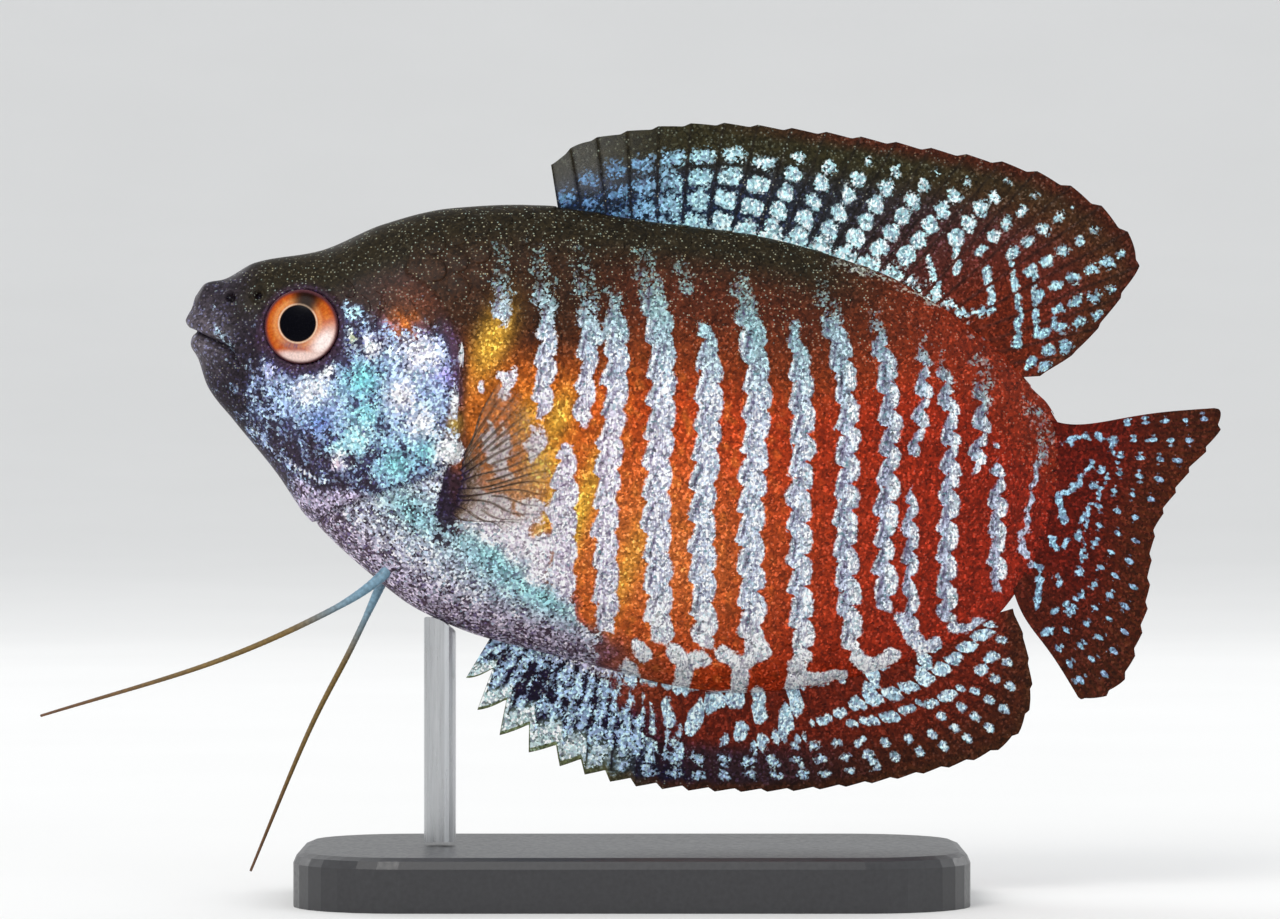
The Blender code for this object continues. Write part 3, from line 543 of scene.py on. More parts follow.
def paint_stripes(coat, depth):
    """Stripes: turquoise high up, white in the middle, lavender low down in front, sparse near the back."""
    x, z = coat.x, coat.z
    coat.mark, seam, lobe, bead = stripe_mark(x, z)
    bead_gap = ramp(58, 62, x) * (0.1 - 0.22 * wobble(x, z, 0.8, 53))
    coat.add(loose_strokes(BODY_STROKES + LOW_STROKES, x, z) - bead_gap)
    rear = ramp(42, 54, x)
    coat.gleam(SILVER_TURQUOISE, 0.8 * ramp(1.0, 8.0, z + 0.05 * (x - 40)))
    coat.gleam(SILVER_LAVENDER, 0.85 * ramp(42, 30, x) * ramp(4.0, -3.0, z))
    coat.gleam((142, 148, 166), 0.7 * rear * ramp(-13.0, -9.0, z))
    coat.gleam((226, 238, 242), 0.8 * np.maximum(lobe, bead * rear) * ramp(10.0, 5.0, z))
    coat.gleam((86, 98, 78), 0.6 * ramp(10.0 - 4.0 * ramp(30, 50, x), 3.0, depth))
    # Partly painted light: the low strokes are white-blue, and their silver is lifted further towards white to cancel
    # the shade on this downward-facing skin.
    coat.gleam((246, 252, 255), 0.95 * ramp(-12.0, -15.0, z) * ramp(35, 39, x))
    coat.gleam(SEAM_PURPLE, 0.9 * seam * (1 - 0.6 * ramp(36, 30, x) * ramp(-1.0, -5.0, z)))
    front = ramp(36, 26, x)
    fade = ramp(9.0 - 3.0 * ramp(42, 52, x) + 3.0 * front, 1.8 + 2.0 * front, depth)
    coat.mark = np.minimum(coat.mark, 0.5 - 0.78 * fade)
    saddle = loose_strokes(SADDLE, x, z)
    coat.gleam((150, 152, 140), ramp(-0.3, 0.0, saddle))
    coat.add(saddle - 0.3)
    coat.spark = 0.12 + (0.85 - 0.65 * ramp(46, 56, x)) * ramp(10.5, 4.5, depth)
    coat.ragged = 0.12 + 0.78 * np.maximum(fade, ramp(-0.6, -0.2, saddle))


def paint_throat(coat):
    """Speckled silver belly below a line from the pectoral root to the anal fin. Returns its weight."""
    x, z = coat.x, coat.z
    above = z + 10.2 + 0.53 * (x - 22.8) - 4.2 * ramp(22.6, 20.5, x)
    throat = ramp(0.9, -0.9, above + 0.5 * wobble(x, z, 2.2, 8)) * ramp(38.5, 32.5, x + 1.1 * wobble(x, z, 1.5, 16))
    white = ramp(4.0, 2.0, above + 0.7 * wobble(x, z, 1.8, 14)) * ramp(-2.2, -0.6, above)
    white = white * ramp(31.0, 29.4, x) * ramp(22.4, 23.8, x)
    coat.tint((196, 174, 194), 0.9 * white)
    coat.gleam((240, 228, 238), white)
    coat.add_soft(white, 0.35)
    coat.ragged = coat.ragged + 0.5 * white
    coat.tint((80, 68, 84), throat * (1 - 0.6 * white))
    coat.gleam((184, 188, 206), throat * (1 - 0.7 * white))
    cover = 0.2 - 0.16 * ramp(24, 8, x) + 0.14 * wobble(x, z, 1.4, 15) + 0.3 * white
    for centre_x, centre_z, radius_x, radius_z in BELLY_TEAL:
        near = throat * coat.spot(centre_x, centre_z, radius_x, radius_z, -0.45)
        coat.gleam(TURQUOISE, 0.85 * near)
        coat.tint((48, 58, 66), 0.7 * near)
        cover = cover + 0.08 * near
    cover = cover - 0.3 * ramp(3.2, 0.4, z - belly(x))
    low = throat * ramp(4.2, 1.2, z - belly(x))
    coat.tint((92, 72, 88), 0.8 * low)
    coat.gleam((180, 162, 182), 0.75 * low)
    coat.mark = np.where(throat > 0.5, cover, coat.mark)
    coat.ragged = coat.ragged + (0.95 - coat.ragged) * throat
    return throat


def paint_pale_patches(coat):
    """Uneven pale patches on the flank behind the pectoral root."""
    x = coat.x + 0.5 * wobble(coat.x, coat.z, 1.7, 12)
    z = coat.z + 0.5 * wobble(coat.x, coat.z, 1.7, 13)
    coat.tint((206, 158, 104), 0.55 * coat.spot(26.6, -9.0, 2.0, 2.4))
    for centre_x, centre_z, radius_x, radius_z in PALE_PATCHES:
        near = blob(x, z, centre_x, centre_z, radius_x, radius_z)
        coat.add_soft(near, 0.52)
        coat.gleam((232, 218, 228), near)
        coat.ragged = np.maximum(coat.ragged, 0.45 * near)


def head_coat(x, z, gill):
    """Purple-grey head with a glittering cheek and gill cover."""
    head = Coat(x, z, JAW_PURPLE, CHEEK_BLUE, 0.9)
    top = ramp(5.4, 3.2, back(x) - z) * ramp(2.0, 5.0, x)
    head.tint(SNOUT_PURPLE, ramp(9.0, 5.0, x))
    head.tint((104, 96, 104), 0.8 * head.spot(1.0, -1.8, 2.0, 2.4))
    head.tint(NAPE_BROWN, ramp(1.6, 3.6, z) * ramp(4.0, 7.0, x))
    head.tint(OLIVE_BACK, top)
    head.tint((96, 50, 30), 0.8 * head.spot(16.4, 4.4, 2.2, 1.3))
    silver = np.maximum(1.15 * head.spot(17.6, -2.0, 4.4, 6.2), 1.1 * head.spot(11.4, -4.2, 5.2, 3.0, 0.25))
    for centre_x, centre_z, radius, colour, cover in HEAD_PATCHES:
        near = blob(x + 0.2 * wobble(x, z, 1.1, 16), z + 0.2 * wobble(x, z, 1.1, 17), centre_x, centre_z, radius, radius)
        head.gleam(colour, near)
        silver = np.maximum(silver, cover * near)
    cheek_top = ramp(1.8, 3.4, z + 0.12 * (x - 16)) * ramp(9.0, 11.5, x)
    silver = silver + 0.3 * wobble(x, z, 1.5, 11) - 0.9 * top - 0.7 * cheek_top - 0.4 * ramp(6.5, 4.0, x)
    silver = silver - 0.25 * head.spot(9.3, -7.6, 2.8, 1.5, -0.5)
    head.tint((84, 92, 130), 0.85 * np.clip(silver, 0, 1))
    head.spark = 0.55 + 0.25 * top
    jaw_x, jaw_z = zip(*JAW_LINE)
    breast = ramp(-0.3, -0.9, z - np.interp(x, jaw_x, jaw_z)) * ramp(9.4, 11.0, x)
    head.tint((84, 70, 86), breast)
    head.gleam((172, 160, 182), breast)
    silver = silver + (0.5 + 0.15 * wobble(x, z, 1.4, 15) - silver) * breast
    silver = silver + paint_eye_rim(head) + paint_gill_rim(head, gill) + paint_jaw(head)
    head.mark = 0.9 * (silver - 0.52)
    return head


def paint_eye_rim(head):
    """Dark purple shadow round the eye, broader below. Returns what it takes from the silver."""
    ring = np.maximum(np.hypot(head.x - EYE_X, head.z - EYE_Z) - EYE_RADIUS, 0)
    shadow = np.exp(-(ring / (0.42 + 0.5 * ramp(0.0, -2.0, head.z - EYE_Z))) ** 2)
    head.tint((62, 42, 58), shadow)
    return -1.1 * shadow


def paint_gill_rim(head, gill):
    """Orange spot, painted shade in the preopercle groove, and maroon rim of the gill cover. Returns their change of
    the silver.
    """
    orange = head.spot(15.9, 2.4, 1.2, 0.95) * (0.75 + 0.5 * wobble(head.x, head.z, 0.8, 18))
    head.tint((196, 104, 36), np.clip(1.1 * orange, 0, 1))
    # Painted shade: the groove along the preopercle, already sunk in the relief, is darkened to a dim blue-purple and
    # loses silver.
    plate, _ = near_line(PREOPERCLE, head.x, head.z)
    groove = np.exp(-(plate / 0.17) ** 2)
    head.tint((56, 50, 78), 0.7 * groove)
    edge = np.exp(-((gill - 0.35) / 0.5) ** 2) * ramp(-4.6, -3.4, head.z) * ramp(4.0, 2.2, head.z)
    head.tint(MAROON, 0.85 * edge)
    return -0.9 * orange - 0.3 * groove - 0.8 * edge


def paint_jaw(head):
    """Ticks along the jaw, the pale upper jawbone, painted shade in the mouth crease and nostril pits, and the pore
    on the cheek.
    """
    jaw, _ = near_line(JAW_LINE, head.x, head.z)
    ticks = np.exp(-(jaw / 0.2) ** 2) * (0.5 + 0.5 * np.sin(head.x * 15.0)) * ramp(13.5, 12.0, head.x)
    ticks = ticks * (0.35 + 0.6 * ramp(8.5, 10.5, head.x))
    head.gleam((222, 214, 220), ticks)
    bone = head.spot(3.1, -1.5, 1.5, 0.42, -0.7)
    head.gleam((150, 170, 182), bone)
    # Painted shade: the mouth crease and the nostril pits, already sunk in the relief, are darkened to near black.
    mouth, _ = near_line(MOUTH_LINE, head.x, head.z)
    head.tint((30, 22, 30), np.exp(-(mouth / 0.16) ** 2) * ramp(5.0, 3.4, head.x))
    for centre_x, centre_z, radius in NOSTRILS:
        off = np.hypot(head.x - centre_x, head.z - centre_z)
        head.tint((26, 20, 26), np.exp(-(off / radius) ** 4))
    pore = np.exp(-(np.hypot(head.x - 13.8, head.z + 4.1) / 0.24) ** 2)
    return 1.5 * ticks + 0.75 * bone - 1.4 * pore


def paint(x, z):
    """Paint of body and head at x, z."""
    coat = flank_coat(x, z)
    throat = paint_throat(coat)
    paint_pale_patches(coat)
    gill = gill_side(x, z)
    on_head = np.maximum(ramp(-0.15, 0.15, gill) * (x < 22.5), ramp(12.2, 11.2, x))
    head = head_coat(x, z, gill)
    cover = on_head * (1 - throat * (gill < 0))
    coat.ground = coat.ground + (head.ground - coat.ground) * cover[..., None]
    coat.shine = coat.shine + (head.shine - coat.shine) * on_head[..., None]
    coat.mark = np.where(on_head > 0.5, head.mark, coat.mark)
    coat.ragged = coat.ragged + (head.ragged - coat.ragged) * on_head
    coat.spark = coat.spark + (head.spark - coat.spark) * on_head
    # Painted shadow: a dark band on the body just behind the gill cover's rear edge stands in for the cover's cast
    # shadow, and takes away silver there.
    behind = np.exp(-((gill + 0.25) / 0.3) ** 2) * (gill < 0) * (x > 12.5) * ramp(-7.5, -5.0, z) * ramp(4.2, 2.0, z)
    coat.tint((58, 38, 40), 0.75 * behind)
    root = np.clip(1.5 * coat.spot(22.0, -9.0, 1.2, 2.4), 0, 1)
    coat.tint((38, 26, 42), 0.95 * root)
    coat.mark = coat.mark - 0.6 * behind - 1.2 * root * ramp(20.9, 21.6, x)
    for centre_x, centre_z, radius_x, radius_z, tilt in FLAP_PATCHES:
        near = np.clip(1.6 * coat.spot(centre_x, centre_z, radius_x, radius_z, tilt), 0, 1)
        coat.gleam((232, 234, 234), near)
        coat.add_soft(near)
    coat.tint((196, 160, 70), coat.spot(21.2, -4.1, 0.5, 0.8))
    return coat


def grid_faces(rows, columns, wrap=False, first=0):
    """Triangles of a grid of points, row after row, closed round its columns if wrap is set."""
    across = np.arange(columns if wrap else columns - 1)
    row = np.arange(rows - 1)[:, None] * columns
    a = row + across
    b = row + (across + 1) % columns
    near = np.stack([a, b, b + columns], axis=-1).reshape(-1, 3)
    far = np.stack([a, b + columns, a + columns], axis=-1).reshape(-1, 3)
    return np.vstack([near, far]) + first


def fan_faces(ring, pole):
    """Triangles from a ring of point numbers to one pole."""
    return np.stack([ring, np.roll(ring, -1), np.full(len(ring), pole)], axis=-1)


def make_object(name, points, faces, finish, attributes=None, uv=None):
    """Smooth mesh object from world points and triangles, with its values held at the points."""
    mesh = bpy.data.meshes.new(name)
    mesh.vertices.add(len(points))
    mesh.vertices.foreach_set("co", np.ascontiguousarray(points, dtype=np.float32).ravel())
    mesh.loops.add(faces.size)
    mesh.loops.foreach_set("vertex_index", np.ascontiguousarray(faces, dtype=np.int32).ravel())
    mesh.polygons.add(len(faces))
    mesh.polygons.foreach_set("loop_start", np.arange(0, faces.size, 3, dtype=np.int32))
    mesh.update(calc_edges=True)
    mesh.shade_smooth()
    for key, values in (attributes or {}).items():
        values = np.asarray(values, dtype=np.float32)
        if values.ndim == 1:
            mesh.attributes.new(key, "FLOAT", "POINT").data.foreach_set("value", values)
            continue
        rows = np.ones((len(values), 4), dtype=np.float32)
        rows[:, :3] = np.clip(values, 0, 1)
        mesh.attributes.new(key, "FLOAT_COLOR", "POINT").data.foreach_set("color", rows.ravel())
    if uv is not None:
        layer = mesh.uv_layers.new(name="OFBake")
        layer.data.foreach_set("uv", np.asarray(uv, dtype=np.float32)[faces.ravel()].ravel())
    mesh.materials.append(finish)
    made = bpy.data.objects.new(name, mesh)
    bpy.context.collection.objects.link(made)
    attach(made, "root")
    return made


def painted(x, z, tone=None, rim=1.0):
    """The body's paint as mesh attributes, with a tone for each scale and more painted glints on its rim."""
    coat = paint(x, z)
    coat.spark = coat.spark * rim
    if tone is not None:
        coat.ground = coat.ground * tone[..., None]
        coat.shine = coat.shine * tone[..., None]
    values = coat.values()
    del values["clear"]
    return values


def skin_unwrap(x, angle):
    """Unwrap of the skin's own shape: left side in the lower half, right side in the upper."""
    side = np.where(np.cos(angle) > 0, 0.75, 0.25)
    return np.stack([0.02 + 0.94 * x / (BODY_END + TAIL_OVERLAP), side + 0.23 * np.sin(angle)], axis=-1)


def grid_normals(points, wrap_axis=1):
    """Unit normals of a grid of points that closes round one axis."""
    along = np.gradient(points, axis=0)
    around = np.roll(points, -1, axis=wrap_axis) - np.roll(points, 1, axis=wrap_axis)
    normal = np.cross(along, around)
    return normal / np.maximum(np.linalg.norm(normal, axis=-1, keepdims=True), 1e-9)


def build_skin(finish):
    """One closed skin over head, jaw, gill covers, torso and tail."""
    share = (np.arange(SKIN_RINGS) + 0.35) / (SKIN_RINGS - 0.65)
    end = BODY_END + TAIL_OVERLAP
    x = (end * share ** SKIN_CROWDING)[:, None] * np.ones(SKIN_SIDES)
    angle = np.ones(SKIN_RINGS)[:, None] * (np.arange(SKIN_SIDES) + 0.5) * 2 * math.pi / SKIN_SIDES
    across, z = section(x, angle)
    across = across * (1 - 0.5 * ramp(BODY_END - 0.4, end, x))
    points = np.stack([x, across, z], axis=-1)
    normal = grid_normals(points)
    outward = np.sign(np.sum(normal[..., 1:] * points[..., 1:], axis=-1).mean())
    lift = relief(x, z) - SKIN_INSET * ramp(0.0, 3.0, x)
    points = points + normal * outward * lift[..., None]
    points[..., 1] += sway(points[..., 0])
    flat = points.reshape(-1, 3)
    nose = np.array([[-0.05, 0.0, (back(0) + belly(0)) / 2]])
    tail = flat[-SKIN_SIDES:].mean(axis=0, keepdims=True)
    count = len(flat)
    faces = np.vstack([grid_faces(SKIN_RINGS, SKIN_SIDES, wrap=True),
                       fan_faces(np.arange(SKIN_SIDES)[::-1], count),
                       fan_faces(np.arange(count - SKIN_SIDES, count), count + 1)])
    values = painted(np.append(x.ravel(), [0, end]), np.append(z.ravel(), [0, 0]))
    skin = make_object("skin", to_world(np.vstack([flat, nose, tail])), faces, finish, values)
    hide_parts("head", "lower_jaw", "gill_cover_left", "gill_cover_right", "torso", "tail")
    return skin


class Side:
    """One flank of the body, read by its leaning column place and by arc length from mid height."""

    def __init__(self, sign):
        self.sign = sign
        self.angles = np.linspace(-math.pi / 2 + 0.01, math.pi / 2 - 0.01, 241)

    def column(self, place):
        """x, z and arc length down one leaning column."""
        x = np.full(self.angles.shape, place)
        for _ in range(12):
            z = section(x, self.angles)[1]
            x = x + 0.6 * (place - LEAN * z - x)
        x = np.clip(x, 0.6, BODY_END + 0.5)
        y, z = section(x, self.angles)
        steps = np.hypot(np.hypot(np.diff(x), np.diff(y)), np.diff(z))
        arc = np.concatenate([[0], np.cumsum(steps)])
        return x, y, z, arc - np.interp(0.0, self.angles, arc)

    def spots(self, place, arcs):
        """Points, outward normals and angles on one column at the given arc lengths."""
        x, y, z, arc = self.column(place)
        angle = np.interp(arcs, arc, self.angles)
        px, py, pz = (np.interp(arcs, arc, values) for values in (x, y, z))
        slope = np.interp(arcs, arc, np.gradient(y, arc)), np.interp(arcs, arc, np.gradient(z, arc))
        normal = np.stack([np.full(px.shape, 0.0), slope[1] * self.sign, -slope[0]], axis=-1)
        normal /= np.linalg.norm(normal, axis=-1, keepdims=True)
        return np.stack([px, py * self.sign, pz], axis=-1), normal, angle


def scale_sheet(side, columns, row_pitch, length, width, start, keep, seed):
    """Every scale of one lattice as closed plates: points, paint places, tones and unwrap."""
    rng = np.random.default_rng(seed)
    along, over = SCALE_GRID
    share = SCALE_SHARES
    turn = np.linspace(-1, 1, over)
    spread = width * np.minimum(1, 0.78 + 0.6 * share) * np.sqrt(np.clip(1 - share ** 4, 0.02, 1))
    lift = SCALE_ROOT_LIFT + (SCALE_EDGE_LIFT - SCALE_ROOT_LIFT) * share
    points, places, tones, unwraps = [], [], [], []
    for place in columns:
        arc = side.column(place)[3]
        offset = row_pitch / 2 if round(place / CHEEK_COLUMN if length < 2 else place / SCALE_COLUMN) % 2 else 0
        rows = np.arange(arc[0] + 0.4, arc[-1] - 0.3, row_pitch) + offset
        rows = rows - np.mod(rows[0], row_pitch) + offset
        arcs = rows[:, None, None] + spread[None, :, None] * turn[None, None, :]
        grid = np.empty((len(rows), along, over, 3))
        normals = np.empty_like(grid)
        angles = np.empty(grid.shape[:-1])
        for step in range(along):
            spot, normal, angle = side.spots(place + start + share[step] * length, arcs[:, step])
            grid[:, step], normals[:, step], angles[:, step] = spot, normal, angle
        middle = grid[:, along // 2, over // 2]
        kept = keep(middle[:, 0], middle[:, 2])
        grid, normals, angles = grid[kept], normals[kept], angles[kept]
        if not len(grid):
            continue
        jitter = rng.uniform(0.85, 1.15, len(grid))
        crown = lift[None, :, None] * jitter[:, None, None] - 0.035 * turn[None, None, :] ** 2
        base = relief(grid[..., 0], grid[..., 2]) * (grid[..., 0] < 24) - SKIN_INSET
        top = grid + normals * (base + crown)[..., None]
        thin = SCALE_THICKNESS * (1 - 0.5 * share ** 3)[None, :, None]
        under = grid + normals * (base + crown - thin)[..., None]
        points.append(np.stack([top, under], axis=1))
        places.append(np.stack([grid, grid], axis=1)[..., [0, 2]])
        tone = rng.uniform(0.9, 1.1, len(grid))[:, None, None] * (1 - 0.16 * ramp(0.86, 1.0, share))[None, :, None]
        tones.append(np.broadcast_to(tone[:, None], tone.shape[:1] + (2,) + (along, over)))
        root = skin_unwrap(grid[:, 0, over // 2, 0], angles[:, 0, over // 2] if side.sign > 0
                           else math.pi - angles[:, 0, over // 2])
        patch = np.stack(np.meshgrid(share - 0.5, turn / 2, indexing="ij"), axis=-1) * PATCH_SIZE
        local = root[:, None, None, :] + patch[None]
        unwraps.append(np.stack([local, local], axis=1))
    points, places, tones, unwraps = (np.concatenate(part) for part in (points, places, tones, unwraps))
    return points, places, tones, unwraps


def plate_faces(count):
    """Triangles of many closed plates, each a top and an under grid joined round the rim."""
    along, over = SCALE_GRID
    face = along * over
    top = grid_faces(along, over)
    under = grid_faces(along, over)[:, ::-1] + face
    numbers = np.arange(face).reshape(along, over)
    rim = np.concatenate([numbers[0, :-1], numbers[:-1, -1], numbers[-1, :0:-1], numbers[:0:-1, 0]])
    ahead = np.roll(rim, -1)
    wall = np.vstack([np.stack([rim, rim + face, ahead + face], axis=-1),
                      np.stack([rim, ahead + face, ahead], axis=-1)])
    one = np.vstack([top, under, wall])
    return (one[None] + (np.arange(count) * 2 * face)[:, None, None]).reshape(-1, 3)


def body_scale_here(x, z):
    """Body scales lie behind the gill cover and over the nape."""
    orbit = np.hypot(x - EYE_X, z - EYE_Z)
    behind = (gill_side(x, z) < -0.7) & (x > NAPE_FRONT - 0.3 * z)
    return behind & (x < BODY_END) & (orbit > 5) & (z > belly(x) + 0.4)


def cheek_scale_here(x, z):
    """Finer scales cover the cheek and gill cover."""
    plate, _ = near_line(PREOPERCLE, x, z)
    orbit = np.hypot(x - EYE_X, z - EYE_Z)
    low = z > -7.6 - 0.35 * (x - 10)
    return (gill_side(x, z) > 1.3) & (x > 8.5) & (x < 20.2) & (orbit > 4.4) & low & (z < 4.4) & (plate > 0.55)


def build_scale_piece(name, side, columns, sizes, keep, seed, finish):
    points, places, tones, unwraps = scale_sheet(side, columns, *sizes, keep, seed)
    points = points.reshape(-1, 3).copy()
    points[:, 1] += sway(points[:, 0])
    x, z = places.reshape(-1, 2).T
    faces = plate_faces(len(tones))
    if side.sign < 0:
        faces = faces[:, ::-1]
    along = np.repeat(SCALE_SHARES, SCALE_GRID[1])
    # More painted glints towards each scale's free rim
    rim = np.tile(0.45 + 0.85 * ramp(0.35, 0.85, along), 2 * len(tones))
    made = make_object(name, to_world(points), faces, finish, painted(x, z, tones.ravel(), rim),
                       unwraps.reshape(-1, 2))


def build_scales(word, sign, finish):
    side = Side(sign)
    body = LOBE_PITCH, SCALE_LENGTH, SCALE_WIDTH, SCALE_START
    cheek = CHEEK_ROW, CHEEK_LENGTH, CHEEK_WIDTH, CHEEK_START
    columns = np.arange(14.5, BODY_END + 2.0, SCALE_COLUMN)
    for part, group in zip(("front", "middle", "rear"), np.split(columns, np.searchsorted(columns, SCALE_SPLITS))):
        build_scale_piece(f"{part}_scales_{word}", side, group, body, body_scale_here, 21, finish)
    columns = np.arange(7.0, 21.0, CHEEK_COLUMN)
    build_scale_piece("cheek_scales_" + word, side, columns, cheek, cheek_scale_here, 22, finish)


def fin_notch(place, saw):
    """Share of the fin's height that its edge dips between two rays."""
    part = np.mod(place, 1.0)
    shape = np.where(part < DIP_PLACE, part / DIP_PLACE, (1 - part) / (1 - DIP_PLACE))
    deep = SAW_NOTCH * np.exp(-np.floor(place) / SAW_FADE) if saw else 0.0
    return (SHALLOW_NOTCH + deep) * shape


def fin_sheet(name, count, root_at, edge_at, colour_at, finish, saw=False, bow=None, across=None,
              per_ray=15, rows=84, branches=1, ray_half=RAY_HALF_WIDTH):
    """Closed thin fin with ridged rays, coloured by ray place, share of height and place on the fin."""
    place = np.linspace(0, count - 1, (count - 1) * per_ray + 1)
    share = np.linspace(0, 1, rows)
    root = root_at(place)
    tip = root + (edge_at(place) - root) * (1 - fin_notch(place, saw))[:, None]
    grid = root[:, None] + (tip - root)[:, None] * share[None, :, None]
    if bow:
        grid = grid + bow(place[:, None], share[None])
    step = np.linalg.norm(np.gradient(grid, axis=0), axis=-1) * per_ray
    off = np.abs(place - np.round(place))[:, None] * step
    if branches > 1:
        fork = np.abs(np.mod(place[:, None] * branches + 0.5, 1) - 0.5) / branches * step
        off = np.where(share[None] > 0.35, np.minimum(off, fork), off)
    ridge = np.exp(-(off / ray_half) ** 2)
    thick = FIN_HALF + (FIN_EDGE_HALF - FIN_HALF) * share[None] ** 2 + RAY_RIDGE * ridge * (1 - 0.7 * share[None])
    thick[:, -1] = FIN_EDGE_HALF
    out = np.array([0, 1, 0]) if across is None else across
    front = grid - out * thick[..., None]
    rear = grid + out * thick[..., None]
    rim = thick.size
    faces = grid_faces(len(place), rows)
    numbers = np.arange(rim).reshape(len(place), rows)
    edge = np.concatenate([numbers[0, :-1], numbers[:-1, -1], numbers[-1, :0:-1], numbers[:0:-1, 0]])
    ahead = np.roll(edge, -1)
    wall = np.vstack([np.stack([edge, edge + rim, ahead + rim], axis=-1),
                      np.stack([edge, ahead + rim, ahead], axis=-1)])
    both = np.vstack([faces, faces[:, ::-1] + rim, wall])
    values = colour_at(place[:, None] + 0 * share[None], share[None] + 0 * place[:, None], grid, ridge)
    doubled = {}
    for key, field in values.items():
        flat = np.asarray(field).reshape(rim, -1) if np.ndim(field) == 3 else np.asarray(field).reshape(rim)
        doubled[key] = np.concatenate([flat, flat])
    points = np.concatenate([front.reshape(-1, 3), rear.reshape(-1, 3)])
    made = make_object(name.replace("fin", "fin_skin"), to_world(points), both, finish, doubled)
    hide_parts(name)
    return made


def spot_rows(root_at, edge_at, count, pitch, radius, first, last, stretch):
    """Rows of oval spots, one column to each membrane, at steps in millimetres from the outer edge.

    The stretch is half the oval's extra length, across the membrane and along it.
    """
    lines = []
    for number in range(count - 1):
        place = np.array([number + 0.5])
        root, edge = root_at(place)[0], edge_at(place)[0]
        along = root - edge
        height = np.linalg.norm(along)
        along = along / height
        begin = first(number)
        step = 0
        while begin + step * pitch(number) < last(number) * height:
            out = begin + step * pitch(number)
            spot = edge + along * out
            over, down = stretch(number)
            half_x = over * -along[2] + down * along[0]
            half_z = over * along[0] + down * along[2] + 0.5 * over
            ends = [(spot[0] - half_x, spot[2] - half_z), (spot[0] + half_x, spot[2] + half_z)]
            lines.append((radius(number, out / height), ends if half_x or half_z else ends[:1]))
            step += 1
    return lines


def median_root(first_x, pitch, spines, soft, profile, sunk):
    def root_at(place):
        x = first_x + pitch * np.minimum(place, spines - 1) + soft * np.maximum(0.0, place - spines + 1)
        return np.stack([x, sway(x), profile(x) + sunk], axis=-1)
    return root_at


def median_edge(line, share_at):
    outer = smooth_path([(x, 0, z) for x, z in line])

    def edge_at(place):
        spot = outer(share_at(place))
        return np.stack([spot[..., 0], sway(spot[..., 0]), spot[..., 2]], axis=-1)
    return edge_at


def dorsal_share(place):
    return np.clip(place / (DORSAL_RAYS - 1), 0, None) ** DORSAL_SPREAD


def anal_share(place):
    wide = ANAL_EARLY_SPREAD * np.minimum(place, ANAL_EARLY_SPINES)
    return (place + wide) / (ANAL_RAYS - 1 + ANAL_EARLY_SPREAD * ANAL_EARLY_SPINES)


def build_dorsal(finish):
    root_at = median_root(DORSAL_FIRST_X, SPINE_PITCH, DORSAL_SPINES, DORSAL_SOFT_PITCH, back, -FIN_SUNK)
    edge_at = median_edge(DORSAL_EDGE, dorsal_share)
    def radius(number, share):
        if number < 8:
            return 0.5 + 0.14 * share
        if number < 15:
            return 0.38 + 0.28 * share
        return 0.33 + 0.06 * share

    spots = spot_rows(root_at, edge_at, DORSAL_RAYS, lambda k: 1.72 if k < 8 else 1.46, radius,
                      lambda k: max(0.9, 3.0 - 0.11 * k) + 0.6 * (k % 2) * (k > 6),
                      lambda k: 1.02 if k < 12 else (0.8 if k < 14 else 0.58),
                      lambda k: (0.3, 0.1) if k < 8 else (0.1 if k < 15 else 0.0, 0.12))

    def colour_at(place, share, grid, ridge):
        coat = Coat(grid[..., 0], grid[..., 2], (40, 40, 42), (178, 220, 226))
        x, z = coat.x, coat.z
        coat.tint((22, 38, 60), 0.9 * ramp(13, 4, place) * ramp(0.75, 0.2, share))
        coat.tint((46, 42, 24), ramp(0.5, 0.8, share))
        coat.tint((96, 32, 13), ramp(10, 18, place) * ramp(1.15, 0.1, share - 0.03 * (place - 14)))
        coat.tint((66, 27, 14), ramp(0.86, 0.99, share) * ramp(5, 11, place))
        coat.gleam((84, 122, 160), ramp(8.0, 2.0, place))
        coat.gleam((124, 162, 188), 0.7 * ramp(15, 20, place))
        coat.mark = loose_strokes(spots, x, z)
        coat.mark -= 0.3 * ramp(0.66, 0.85, share) * ramp(20, 15, place) + 0.4 * ramp(4.5, 1.2, place)
        coat.add(loose_strokes(DORSAL_STROKES + SADDLE, x, z) - 0.04)
        base = ramp(0.2, 0.05, share) * ramp(1.5, 4, place) * ramp(17, 12, place)
        coat.add_soft(base, 0.55)
        coat.mark -= 0.6 * ramp(0.92, 0.97, share) + 0.6 * ridge * ramp(22, 14, place)
        coat.tint((28, 22, 18), 0.65 * ridge * ramp(0.0, 0.2, share))
        coat.mottle(0.18, 0.9, 31)
        coat.clear = 1 - 0.3 * ramp(6, 1, place) * (1 - ridge) * ramp(0.1, 0.5, share)
        coat.spark = 0.3 * ramp(20, 12, place) + 0.7 * ridge * ramp(16, 10, place)
        coat.ragged = 0.14 + 0.3 * ramp(0.5, 0.75, share) + 0.75 * ramp(9, 2, place) + 0.5 * ramp(0.25, 0.05, share)
        return coat.values()

    fin_sheet("dorsal_fin", DORSAL_RAYS, root_at, edge_at, colour_at, finish)


